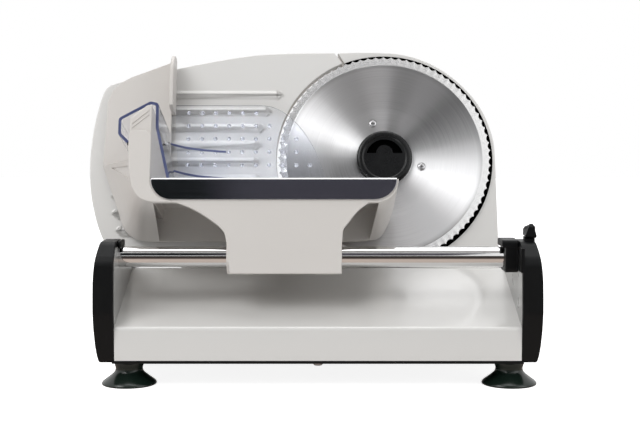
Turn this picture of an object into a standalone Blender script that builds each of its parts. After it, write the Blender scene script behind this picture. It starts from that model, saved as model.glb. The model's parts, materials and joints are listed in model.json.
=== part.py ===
"""Electric meat slicer with a leaning blade, a tilting food carriage on a round rail and suction feet.

Lengths are in millimetres until a mesh is made, and every object is written in metres with +Z up.
The front of the machine faces -Y. Leaning pieces are drawn in the lean frame: x to the right,
y up along the blade and z out of the blade towards the user.
"""

import math

import bmesh
import bpy
from mathutils import Matrix, Vector

MM = 0.001

# Fits and sheet thicknesses
GAP = 0.3
RUN = 0.35
WALL = 2.6
SHEET = 0.9

# Lean frame
LEAN_DEG = 16.7
LEAN = math.radians(LEAN_DEG)
BLADE_X, BLADE_Y, BLADE_Z = 59.2, 30.0, 178.0

# Base
BASE_HALF = 162.7
WALL_T = 2.8
DECK_HALF = BASE_HALF - WALL_T
BASE_FRONT = -117.0
BASE_REAR = 124.0
PLATE_BOTTOM = 19.4
PLATE_TOP = 21.6
SHELL_BOTTOM = PLATE_TOP + GAP
FOLD_Z = 48.0
SHELF_Y = -15.0
SHELF_Z = 84.0
CAP_INNER = BASE_HALF + GAP
CAP_T = 5.0
CAP_TOP = 118.5

# Rail
RAIL_Y = -86.0
RAIL_Z = 101.0
RAIL_R = 8.2
RAIL_END = BASE_HALF - 1.2
SOCKET_BORE = RAIL_R + GAP
SOCKET_X = DECK_HALF - 13.9

# Feet
FOOT_X = BASE_HALF - 11.5
FOOT_FRONT_Y = -98.0
FOOT_REAR_Y = 104.0
FOOT_RIM_R = 21.75
FOOT_NECK_R = 10.6
FOOT_HEIGHT = PLATE_BOTTOM - GAP

# Blade and its drive, heights measured along the lean frame's z
BLADE_R = 95.0
BLADE_TEETH = 84
TOOTH_DEPTH = 1.9
BEVEL_R = 87.5
DISH = 3.2
FLAT_R = 46.0
BLADE_T = 1.4
BLADE_BORE = 12.0
SCREW_CIRCLE = 34.0
KNOB_R = 24.8
SPINDLE_R = 8.0
GEAR_MODULE = 2.0
GEAR_TEETH = 40
PINION_TEETH = 10
WHEEL_MODULE = 1.5
WHEEL_TEETH = 34
MOTOR_TEETH = 9
BACKLASH = 0.45
IDLER_DEG = 20.0
MOTOR_DEG = -100.0
GEAR_FRONT = -DISH - BLADE_T - GAP
GEAR_BACK = GEAR_FRONT - 11.0
CHASSIS_FRONT = GEAR_BACK - 2.0
CHASSIS_BACK = CHASSIS_FRONT - 3.5
WHEEL_FRONT = CHASSIS_BACK - 1.5
WHEEL_BACK = WHEEL_FRONT - 7.0
MOUNT_FRONT = WHEEL_BACK - 1.5
MOUNT_BACK = MOUNT_FRONT - 3.0
MOTOR_R = 25.0
MOTOR_LENGTH = 48.0

# Housing behind the blade
RING_FRONT = -5.0
RING_BACK = -8.0
RING_OPENING = BLADE_R - 6.0
HOUSING_REAR = 121.0

# Thickness plate
PLATE_FACE = -1.4
PLATE_T = 2.4
PLATE_RIB = 0.9
PLATE_ARC = BLADE_R + 1.4
PLATE_END_DEG = 112.6
PLATE_LOW = -0.85263 * BLADE_R
PLATE_LEFT = -BLADE_R - 168.2
PLATE_TRAVEL = 15.0
GUIDE_U = -154.0
GUIDE_SPREAD = 20.0
GUIDE_V = -28.0
GUIDE_R = 4.0
DIAL_V = 2.0
DIAL_R = 21.0
BLOCK_FRONT = -55.0
BLOCK_BACK = -75.0

# Carriage
CARRIAGE_BACK = 3.4
CARRIAGE_FRONT = 102.0
TRAY_TOP = -44.6
PLATFORM_TOP = TRAY_TOP - SHEET - 0.3
BUSH_R = 11.4
BUSH_LEN = 20.0
HUB_LEFT = (-73.0, -52.0)
HUB_RIGHT = (-2.0, 19.0)

# Pusher
PUSHER_BACK = 8.0
PUSHER_T = 2.4
SADDLE_FRONT = 93.0


def lean_matrix(u=0.0, v=0.0, n=0.0):
    """The lean frame moved to one of its own points, in millimetres."""
    centre = Matrix.Translation(Vector((BLADE_X, BLADE_Y, BLADE_Z)))
    turn = Matrix.Rotation(math.pi / 2 - LEAN, 4, "X")
    return centre @ turn @ Matrix.Translation(Vector((u, v, n)))


def world_matrix(x=0.0, y=0.0, z=0.0):
    """A plain frame at a world point, in millimetres."""
    return Matrix.Translation(Vector((x, y, z)))


def side_matrix(x=0.0, y=0.0, z=0.0):
    """A frame whose local x is world Y, y is world Z and z is world X, for profiles seen from the side."""
    axes = Matrix(((0, 0, 1, 0), (1, 0, 0, 0), (0, 1, 0, 0), (0, 0, 0, 1)))
    return Matrix.Translation(Vector((x, y, z))) @ axes


def front_matrix(x=0.0, y=0.0, z=0.0):
    """A frame whose local x is world X, y is world Z and z is world -Y, for profiles seen from the front."""
    return Matrix.Translation(Vector((x, y, z))) @ Matrix.Rotation(math.pi / 2, 4, "X")


def material(name, colour, metallic=0.0, roughness=0.5, alpha=1.0, transmission=0.0):
    """A plain Principled material."""
    made = bpy.data.materials.new(name)
    made.use_nodes = True
    shader = made.node_tree.nodes["Principled BSDF"]
    shader.inputs["Base Color"].default_value = (*colour, 1.0)
    shader.inputs["Metallic"].default_value = metallic
    shader.inputs["Roughness"].default_value = roughness
    shader.inputs["Alpha"].default_value = alpha
    shader.inputs["Transmission Weight"].default_value = transmission
    made.diffuse_color = (*colour, 1.0)
    return made


def emit(name, bm, frame, look):
    """Turns millimetre geometry in a local frame into one object whose origin is that frame's."""
    bmesh.ops.recalc_face_normals(bm, faces=bm.faces[:])
    if bm.calc_volume(signed=True) < 0:
        bmesh.ops.reverse_faces(bm, faces=bm.faces[:])
    for vertex in bm.verts:
        vertex.co *= MM
    mesh = bpy.data.meshes.new(name)
    bm.to_mesh(mesh)
    bm.free()
    obj = bpy.data.objects.new(name, mesh)
    bpy.context.scene.collection.objects.link(obj)
    place = frame.copy()
    place.translation = frame.translation * MM
    obj.matrix_world = place
    if look is not None:
        mesh.materials.append(look)
    shade(obj)
    return obj


def shade(obj, degrees=32.0):
    """Shades the round faces smooth and keeps the sharp edges."""
    for face in obj.data.polygons:
        face.use_smooth = True
    obj.data.set_sharp_from_angle(angle=math.radians(degrees))


def prism(name, outline, low, high, frame, look=None, top=None):
    """A closed outline along the frame's z, with an outline of its own at the far end when top is given."""
    bm = bmesh.new()
    upper = outline if top is None else top
    floor = [bm.verts.new((x, y, low)) for x, y in outline]
    roof = [bm.verts.new((x, y, high)) for x, y in upper]
    bm.faces.new(list(reversed(floor)))
    bm.faces.new(roof)
    count = len(floor)
    for i in range(count):
        j = (i + 1) % count
        if top is None:
            bm.faces.new((floor[i], floor[j], roof[j], roof[i]))
        else:
            bm.faces.new((floor[i], floor[j], roof[j]))
            bm.faces.new((floor[i], roof[j], roof[i]))
    return emit(name, bm, frame, look)


def lathe(name, profile, frame, look=None, steps=64):
    """A closed profile of (radius, height) turned about the frame's z. Points on the axis become poles."""
    bm = bmesh.new()
    rings = []
    for radius, height in profile:
        if radius < 1e-6:
            rings.append([bm.verts.new((0, 0, height))])
            continue
        turn = [2 * math.pi * k / steps for k in range(steps)]
        rings.append([bm.verts.new((radius * math.cos(a), radius * math.sin(a), height)) for a in turn])
    for first, second in zip(rings, rings[1:] + rings[:1]):
        if len(first) == 1 and len(second) == 1:
            continue
        for k in range(steps):
            m = (k + 1) % steps
            if len(first) == 1:
                bm.faces.new((first[0], second[m], second[k]))
            elif len(second) == 1:
                bm.faces.new((first[k], first[m], second[0]))
            else:
                bm.faces.new((first[k], first[m], second[m], second[k]))
    return emit(name, bm, frame, look)


def box(name, low, high, frame, look=None):
    """A box between two corners of a frame."""
    outline = [(low[0], low[1]), (high[0], low[1]), (high[0], high[1]), (low[0], high[1])]
    return prism(name, outline, low[2], high[2], frame, look)


def boolean(target, other, operation, split=False):
    """Applies one exact Boolean and removes the other object."""
    modifier = target.modifiers.new("made", "BOOLEAN")
    modifier.operation = operation
    modifier.solver = "EXACT"
    modifier.object = other
    bpy.context.view_layer.update()
    bpy.ops.object.select_all(action="DESELECT")
    target.select_set(True)
    bpy.context.view_layer.objects.active = target
    bpy.ops.object.modifier_apply(modifier=modifier.name)
    bpy.data.objects.remove(other)
    if split:
        tidy(target)
    if target.data.materials and len(target.data.materials) > 1:
        while len(target.data.materials) > 1:
            target.data.materials.pop()
        for face in target.data.polygons:
            face.material_index = 0
    shade(target)
    return target


def tidy(target):
    """Splits the many-sided faces that a Boolean leaves, so that the next one starts from clean ones."""
    bm = bmesh.new()
    bm.from_mesh(target.data)
    bmesh.ops.remove_doubles(bm, verts=bm.verts[:], dist=2e-6)
    bmesh.ops.triangulate(bm, faces=[face for face in bm.faces if len(face.verts) > 4])
    bm.to_mesh(target.data)
    bm.free()


def cut(target, other, split=False):
    """Cuts the other piece out of the target."""
    return boolean(target, other, "DIFFERENCE", split)


def add(target, other, split=False):
    """Joins the other piece to the target as one solid."""
    return boolean(target, other, "UNION", split)


def together(pieces):
    """Joins separate solids into one object without a Boolean, for use as one cutter or addition."""
    bpy.ops.object.select_all(action="DESELECT")
    for piece in pieces:
        piece.select_set(True)
    bpy.context.view_layer.objects.active = pieces[0]
    bpy.ops.object.join()
    return pieces[0]


def keep(target, other):
    """Keeps what the two pieces share."""
    return boolean(target, other, "INTERSECT")


def rounded(points, radius, steps=5):
    """An outline whose corners are rounded. A radius may be one number or one for each corner."""
    made = []
    count = len(points)
    for i, corner in enumerate(points):
        r = radius[i] if isinstance(radius, (list, tuple)) else radius
        here = Vector(corner)
        before = Vector(points[i - 1]) - here
        after = Vector(points[(i + 1) % count]) - here
        if r <= 0 or before.length < 1e-6 or after.length < 1e-6:
            made.append((here.x, here.y))
            continue
        angle = before.angle(after)
        if angle > math.radians(175):
            made.append((here.x, here.y))
            continue
        reach = min(r / math.tan(angle / 2), 0.45 * before.length, 0.45 * after.length)
        start = here + before.normalized() * reach
        end = here + after.normalized() * reach
        for k in range(steps + 1):
            t = k / steps
            point = start * (1 - t) ** 2 + here * 2 * t * (1 - t) + end * t**2
            made.append((point.x, point.y))
    return made


def arc(cx, cy, radius, start, stop, steps):
    """Points on an arc, angles in degrees."""
    turn = [math.radians(start + (stop - start) * k / steps) for k in range(steps + 1)]
    return [(cx + radius * math.cos(a), cy + radius * math.sin(a)) for a in turn]


def offset(points, distance):
    """An outline moved inwards by a distance. The outline runs anticlockwise."""
    made = []
    count = len(points)
    for i in range(count):
        here = Vector(points[i])
        before = (here - Vector(points[i - 1])).normalized()
        after = (Vector(points[(i + 1) % count]) - here).normalized()
        left = Vector((-before.y, before.x)) + Vector((-after.y, after.x))
        size = max(left.length, 1e-6)
        scale = distance / max(size / 2, 0.35)
        moved = here + left / size * scale
        made.append((moved.x, moved.y))
    return made


def gear_outline(teeth, module, phase_deg=0.0):
    """A coarse spur gear: two involute points on each flank and a flat root and tip."""
    pitch = module * teeth / 2
    base = pitch * math.cos(math.radians(20))
    tip = pitch + 0.9 * module
    root = pitch - 1.2 * module
    half = (math.pi * module / 2 - BACKLASH) / 2 / pitch
    inv_pitch = math.tan(math.radians(20)) - math.radians(20)

    def half_angle(radius):
        if radius <= base:
            return half + inv_pitch
        a = math.acos(base / radius)
        return half + inv_pitch - (math.tan(a) - a)

    points = []
    for k in range(teeth):
        centre = 2 * math.pi * k / teeth + math.radians(phase_deg)
        flank = [(r, half_angle(r)) for r in (root, pitch, tip)]
        for r, a in flank:
            points.append((r * math.cos(centre - a), r * math.sin(centre - a)))
        for r, a in reversed(flank):
            points.append((r * math.cos(centre + a), r * math.sin(centre + a)))
    return points


def child(obj, parent):
    """Parents without moving."""
    bpy.context.view_layer.update()
    place = obj.matrix_world.copy()
    obj.parent = parent
    obj.matrix_world = place
    return obj


def empty(name, frame):
    """A joint axis helper."""
    made = bpy.data.objects.new(name, None)
    made.empty_display_size = 0.01
    bpy.context.scene.collection.objects.link(made)
    place = frame.copy()
    place.translation = frame.translation * MM
    made.matrix_world = place
    return made


def clear():
    """Empties the startup scene."""
    for obj in list(bpy.data.objects):
        bpy.data.objects.remove(obj)


def looks():
    """Every finish by name."""
    return {
        "paint": material("light_grey_paint", (0.74, 0.74, 0.72), 0.0, 0.38),
        "plastic": material("warm_grey_plastic", (0.66, 0.64, 0.61), 0.0, 0.42),
        "black": material("black_plastic", (0.012, 0.013, 0.014), 0.0, 0.45),
        "rubber": material("dark_rubber", (0.01, 0.016, 0.013), 0.0, 0.35),
        "steel": material("brushed_stainless", (0.62, 0.62, 0.63), 1.0, 0.27),
        "chrome": material("chrome", (0.75, 0.75, 0.75), 1.0, 0.08),
        "clear": material("clear_blue_plastic", (0.80, 0.88, 1.0), 0.0, 0.06, 0.35, 1.0),
        "nylon": material("white_nylon", (0.82, 0.80, 0.74), 0.0, 0.5),
        "zinc": material("zinc_plated_steel", (0.55, 0.55, 0.56), 1.0, 0.35),
    }


def base_side():
    """The side outline of the base, (Y, Z), anticlockwise seen from the right."""
    corners = [
        (BASE_FRONT, SHELL_BOTTOM),
        (BASE_REAR, SHELL_BOTTOM),
        (BASE_REAR, SHELF_Z),
        (SHELF_Y, SHELF_Z),
        (BASE_FRONT, FOLD_Z),
    ]
    return rounded(corners, [0, 0, 6, 14, 4], 4)


def wall_side():
    """The side outline of the base's two end walls, which stand above the deck."""
    corners = [
        (BASE_FRONT + 1, SHELL_BOTTOM + 2),
        (BASE_REAR - 1, SHELL_BOTTOM + 2),
        (BASE_REAR - 1, 84.9),
        (-22.0, 88.0),
        (-66.0, 112.0),
        (-78.0, 115.5),
        (-103.0, 115.5),
        (-114.0, 103.0),
    ]
    return rounded(corners, [0, 0, 3, 10, 6, 6, 8, 10], 4)


def cap_corners():
    """The corners of the side outline of an end cap."""
    return [
        (-116.0, 21.2),
        (BASE_REAR + 2, 21.2),
        (BASE_REAR + 3, 86.5),
        (-20.0, 90.0),
        (-64.0, 114.0),
        (-76.0, CAP_TOP),
        (-104.0, CAP_TOP),
        (-117.5, 104.0),
        (-120.5, 60.0),
    ]


def cap_side():
    """The side outline of an end cap."""
    return rounded(cap_corners(), [4, 4, 8, 14, 8, 8, 10, 14, 30], 4)


def cap_front():
    """The bowed section of the right end cap, (X, Z)."""
    bow = [(8.0, 21.2), (11.6, 34.0), (13.4, 60.0), (13.3, 82.0), (11.0, 102.0), (7.8, CAP_TOP)]
    outer = [(CAP_INNER + out, z) for out, z in bow]
    return [(CAP_INNER, 10.0), (CAP_INNER + CAP_T, 10.0)] + outer + [(CAP_INNER, CAP_TOP + 6)]


def build_base(look):
    """The shell, its bottom plate, the end caps, the rail, its sockets and the feet."""
    shell = prism("base_shell", base_side(), -BASE_HALF, BASE_HALF, side_matrix(), look["paint"])
    for sign in (-1, 1):
        low, high = sorted((sign * DECK_HALF, sign * BASE_HALF))
        add(shell, prism("wall", wall_side(), low, high, side_matrix()))
    inside = offset(base_side(), WALL)
    inside = [(y, z if z > SHELL_BOTTOM + 5 else SHELL_BOTTOM - 4) for y, z in inside]
    cut(shell, prism("inside", inside, -BASE_HALF + WALL, BASE_HALF - WALL, side_matrix()))
    for x in (-BASE_HALF, BASE_HALF):
        hole = [(RAIL_R + GAP, -8), (RAIL_R + GAP, 8), (0, 8), (0, -8)]
        frame = side_matrix(x, RAIL_Y, RAIL_Z)
        cut(shell, lathe("hole", hole, frame, steps=40))
    cable = [(8.2, -6), (8.2, 6), (0, 6), (0, -6)]
    cut(shell, lathe("hole", cable, front_matrix(-110.0, BASE_REAR, 48.0), steps=32))

    plate = box(
        "bottom_plate",
        (-BASE_HALF + 0.6, BASE_FRONT + 0.6, PLATE_BOTTOM),
        (BASE_HALF - 0.6, BASE_REAR - 0.6, PLATE_TOP),
        world_matrix(),
        look["black"],
    )
    for x in (-FOOT_X, FOOT_X):
        for y in (FOOT_FRONT_Y, FOOT_REAR_Y):
            hole = [(3.0, -4), (3.0, 6), (0, 6), (0, -4)]
            cut(plate, lathe("hole", hole, world_matrix(x, y, PLATE_BOTTOM), steps=20))
    for x in range(-60, 61, 15):
        cut(plate, box("slot", (x - 2, 40, 15), (x + 2, 84, 25), world_matrix()))
    for x, y in ((0.0, -110.0), (0.0, 116.0)):
        hole = [(1.9, -4), (1.9, 6), (0, 6), (0, -4)]
        cut(plate, lathe("hole", hole, world_matrix(x, y, PLATE_BOTTOM), steps=16))

    for side, sign in (("left", -1), ("right", 1)):
        section = [(sign * x, z) for x, z in cap_front()]
        cap = prism(f"end_cap_{side}", section, -BASE_REAR - 6, 126.0, front_matrix(), look["black"])
        low, high = sorted((sign * (CAP_INNER - 5), sign * (CAP_INNER + 22)))
        keep(cap, prism("side", cap_side(), low, high, side_matrix()))
        low, high = sorted((sign * (CAP_INNER - 4), sign * (CAP_INNER + CAP_T + 0.4)))
        cut(cap, prism("hollow", offset(cap_corners(), 4.5), low, high, side_matrix()))
        cap.data.name = f"end_cap_{side}"

    rail_profile = [
        (RAIL_R - 1.5, -RAIL_END),
        (RAIL_R, -RAIL_END),
        (RAIL_R, RAIL_END),
        (RAIL_R - 1.5, RAIL_END),
    ]
    lathe("rail_tube", rail_profile, side_matrix(0, RAIL_Y, RAIL_Z), look["chrome"], 40)

    right = rounded([(-13.4, -13.6), (13.0, -13.6), (13.0, 14.2), (-13.4, 14.2)], 4, 3)
    left = rounded([(-10.5, 2.0), (10.5, 2.0), (10.5, 13.6), (-10.5, 13.6)], 3, 3)
    bore = [(SOCKET_BORE, -30), (SOCKET_BORE, 30), (0, 30), (0, -30)]
    spots = (("right", right, SOCKET_X, DECK_HALF - GAP), ("left", left, -DECK_HALF + GAP, -DECK_HALF + 4.9))
    for side, outline, low, high in spots:
        frame = side_matrix(low, RAIL_Y, RAIL_Z)
        socket = prism(f"rail_socket_{side}", outline, 0, high - low, frame, look["black"])
        cut(socket, lathe("bore", bore, frame, steps=40))

    for end, y in (("front", FOOT_FRONT_Y), ("rear", FOOT_REAR_Y)):
        for side, x in (("left", -FOOT_X), ("right", FOOT_X)):
            profile = [
                (0, 4.8),
                (12, 3.0),
                (16.6, 0),
                (FOOT_RIM_R, 0),
                (FOOT_RIM_R, 3.4),
                (14.0, 7.0),
                (FOOT_NECK_R - 1.6, 10.4),
                (13.8, 13.0),
                (13.8, FOOT_HEIGHT),
                (3.0, FOOT_HEIGHT),
                (3.0, 9.5),
                (0, 9.5),
            ]
            lathe(f"foot_{end}_{side}", profile, world_matrix(x, y), look["rubber"], 28)
            stud = [(0, 9.9), (2.6, 9.9), (2.6, 27.0), (0, 27.0)]
            body = lathe(f"foot_screw_{end}_{side}", stud, world_matrix(x, y), look["zinc"], 12)
            hexagon = [(5.2 * math.cos(k * math.pi / 3), 5.2 * math.sin(k * math.pi / 3)) for k in range(6)]
            add(body, prism("nut", hexagon, PLATE_TOP + GAP, 25.6, world_matrix(x, y)))

    screw("base_screw_front", world_matrix(0, -110.0, PLATE_BOTTOM - GAP), look["zinc"], 4.2, 1.6, 10.0, True)
    screw("base_screw_rear", world_matrix(0, 116.0, PLATE_BOTTOM - GAP), look["zinc"], 4.2, 1.6, 10.0, True)


def screw(name, frame, look, head_r, shank_r, length, down=False):
    """A pan-head screw with a cross slot. Its head stands on the frame's xy plane."""
    flip = Matrix.Rotation(math.pi, 4, "X") if down else Matrix.Identity(4)
    place = frame @ flip
    profile = [(0, 2.0), (head_r * 0.7, 1.8), (head_r, 0.6), (head_r, 0), (shank_r, 0), (shank_r, -length), (0, -length)]
    body = lathe(name, profile, place, look, 16)
    for size in ((head_r * 0.62, 0.45), (0.45, head_r * 0.62)):
        low = (-size[0], -size[1], 1.2)
        high = (size[0], size[1], 3.0)
        cut(body, box("slot", low, high, place))
    return body


def round_blade(points):
    """Points given as an angle in degrees and a distance outside the blade."""
    return [polar(BLADE_R + out, degrees) for degrees, out in points]


def housing_outline():
    """The front outline of the motor housing in the lean frame, anticlockwise."""
    side = BLADE_R + 5.2
    left_x = polar(BLADE_R - 28.4, 138.65)[0]
    bottom = [(left_x, -130.0), (side, -130.0), (side, -78.0), (side - 0.4, -36.0), (side - 0.8, 0.0)]
    curve = round_blade([(10.35, 4.9), (22.27, 4.9), (31.2, 4.8), (39.25, 4.5), (49.34, 4.4), (59.74, 4.8)])
    crown = round_blade([(70.57, 5.3), (81.3, 5.6), (92.16, 6.0), (102.97, 8.8), (112.35, 13.7)])
    left = round_blade([(111.76, 6.43), (111.35, -0.51), (113.03, -8.07), (124.11, -20.12), (138.65, -28.4)])
    return bottom + curve + crown + left


def build_housing(look):
    """The housing shell, the front ring, the chassis plate and the rear fittings."""
    side = rounded(
        [(-30, SHELF_Z + GAP), (HOUSING_REAR, SHELF_Z + GAP), (HOUSING_REAR, 240), (96, 300), (-30, 300)],
        [0, 0, 40, 10, 0],
        6,
    )
    outer = housing_outline()
    shell = prism("motor_housing", outer, -150.0, RING_BACK - GAP, lean_matrix(), look["paint"])
    keep(shell, prism("side", side, -60, 200, side_matrix()))
    inner = prism("inner", offset(outer, WALL), -150.0, RING_BACK + 20, lean_matrix())
    inner_side = rounded(
        [(-40, SHELF_Z - 10), (HOUSING_REAR - WALL, SHELF_Z - 10), (HOUSING_REAR - WALL, 238), (94, 296), (-40, 296)],
        [0, 0, 38, 10, 0],
        6,
    )
    keep(inner, prism("side", inner_side, -60, 200, side_matrix()))
    cut(shell, inner)
    cut(shell, box("vent", (BLADE_X - 20, HOUSING_REAR - 6, 112), (BLADE_X + 56, HOUSING_REAR + 4, 152), world_matrix()))
    cut(shell, box("switch", (BLADE_X + 40, HOUSING_REAR - 6, 172), (BLADE_X + 56, HOUSING_REAR + 4, 196), world_matrix()))

    ring = prism("housing_front", outer, RING_BACK, RING_FRONT, lean_matrix(), look["paint"])
    keep(ring, prism("side", side, -60, 200, side_matrix()))
    opening = [(RING_OPENING, RING_BACK - 5), (RING_OPENING, RING_FRONT + 5), (0, RING_FRONT + 5), (0, RING_BACK - 5)]
    cut(ring, lathe("opening", opening, lean_matrix(), steps=72))

    idler = polar(GEAR_MODULE * (GEAR_TEETH + PINION_TEETH) / 2, IDLER_DEG)
    motor = polar(WHEEL_MODULE * (WHEEL_TEETH + MOTOR_TEETH) / 2, MOTOR_DEG, idler)
    chassis_line = offset(outer, WALL + GAP)
    chassis = prism("chassis_plate", chassis_line, CHASSIS_BACK, CHASSIS_FRONT, lean_matrix(), look["zinc"])
    keep(chassis, box("above", (-200, -200, SHELF_Z + GAP + 1), (300, 300, 400), world_matrix()))
    for (u, v), r in (((0, 0), SPINDLE_R + GAP), (idler, 6.0 + GAP)):
        hole = [(r, CHASSIS_BACK - 4), (r, CHASSIS_FRONT + 4), (0, CHASSIS_FRONT + 4), (0, CHASSIS_BACK - 4)]
        cut(chassis, lathe("hole", hole, lean_matrix(u, v), steps=32))

    mount_line = rounded(
        [(motor[0] - 34, motor[1] - 34), (motor[0] + 34, motor[1] - 34), (motor[0] + 34, motor[1] + 34), (motor[0] - 34, motor[1] + 34)],
        8,
        4,
    )
    mount = prism("motor_mount", mount_line, MOUNT_BACK, MOUNT_FRONT, lean_matrix(), look["zinc"])
    hole = [(7.5, MOUNT_BACK - 4), (7.5, MOUNT_FRONT + 4), (0, MOUNT_FRONT + 4), (0, MOUNT_BACK - 4)]
    cut(mount, lathe("hole", hole, lean_matrix(*motor), steps=32))
    idler_hole = [(4.0 + GAP, MOUNT_BACK - 4), (4.0 + GAP, MOUNT_FRONT + 4), (0, MOUNT_FRONT + 4), (0, MOUNT_BACK - 4)]
    cut(mount, lathe("hole", idler_hole, lean_matrix(*idler), steps=24))
    for index, (du, dv) in enumerate(((-28, -28), (28, -28), (-22, 8))):
        u, v = motor[0] + du, motor[1] + dv
        post = [(4.0, MOUNT_FRONT + GAP), (4.0, CHASSIS_BACK - GAP), (0, CHASSIS_BACK - GAP), (0, MOUNT_FRONT + GAP)]
        lathe(f"motor_post_{index + 1}", post, lean_matrix(u, v), look["zinc"], 20)

    can = [
        (0, MOUNT_BACK - GAP - MOTOR_LENGTH),
        (7, MOUNT_BACK - GAP - MOTOR_LENGTH),
        (8, MOUNT_BACK - MOTOR_LENGTH + 4),
        (MOTOR_R - 3, MOUNT_BACK - MOTOR_LENGTH + 4),
        (MOTOR_R, MOUNT_BACK - MOTOR_LENGTH + 7),
        (MOTOR_R, MOUNT_BACK - GAP),
        (3.4, MOUNT_BACK - GAP),
        (3.4, MOUNT_BACK - GAP - 12),
        (0, MOUNT_BACK - GAP - 12),
    ]
    lathe("motor_can", can, lean_matrix(*motor), look["zinc"], 24)

    spindle = [
        (0, CHASSIS_BACK - 6),
        (12, CHASSIS_BACK - 6),
        (12, CHASSIS_BACK - GAP),
        (SPINDLE_R, CHASSIS_BACK - GAP),
        (SPINDLE_R, -DISH - 4.0),
        (SPINDLE_R - 1, -DISH - 3.0),
        (0, -DISH - 3.0),
    ]
    lathe("blade_spindle", spindle, lean_matrix(), look["zinc"], 32)

    grille = box(
        "vent_grille",
        (BLADE_X - 24, HOUSING_REAR + GAP, 108),
        (BLADE_X + 60, HOUSING_REAR + GAP + 2.4, 156),
        world_matrix(),
        look["black"],
    )
    for z in range(114, 151, 7):
        cut(grille, box("slot", (BLADE_X - 18, HOUSING_REAR - 2, z), (BLADE_X + 54, HOUSING_REAR + 6, z + 3.4), world_matrix()))
    bezel = box(
        "switch_bezel",
        (BLADE_X + 36, HOUSING_REAR + GAP, 168),
        (BLADE_X + 60, HOUSING_REAR + GAP + 2.4, 200),
        world_matrix(),
        look["black"],
    )
    cut(bezel, box("window", (BLADE_X + 40.6, HOUSING_REAR - 2, 172.6), (BLADE_X + 55.4, HOUSING_REAR + 6, 195.4), world_matrix()))
    rocker = [(-11.0, 0.2), (-11.0, -2.6), (0.0, -0.8), (11.0, -4.2), (11.0, 0.6), (6.0, 5.0), (-6.0, 5.0)]
    rocker = [(-d, z) for z, d in rocker]
    prism("switch_rocker", rocker, -7.0, 7.0, side_matrix(BLADE_X + 48, HOUSING_REAR + 1.6, 184.0), look["black"])

    gland = [(5.0, -6), (8.0, -6), (8.0, GAP * -1), (10.5, GAP * -1), (10.5, 0)]
    gland = [(4.4, -9.0), (7.8, -9.0), (7.8, GAP), (11.0, GAP), (11.0, 3.0), (8.2, 4.5), (6.6, 12.0), (4.4, 12.0)]
    back = Matrix.Translation(Vector((-110.0, BASE_REAR, 48.0))) @ Matrix.Rotation(-math.pi / 2, 4, "X")
    lathe("cord_gland", gland, back, look["black"], 24)


def polar(radius, degrees, centre=(0.0, 0.0)):
    """A point at a radius and an angle from a centre."""
    a = math.radians(degrees)
    return (centre[0] + radius * math.cos(a), centre[1] + radius * math.sin(a))


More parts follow.
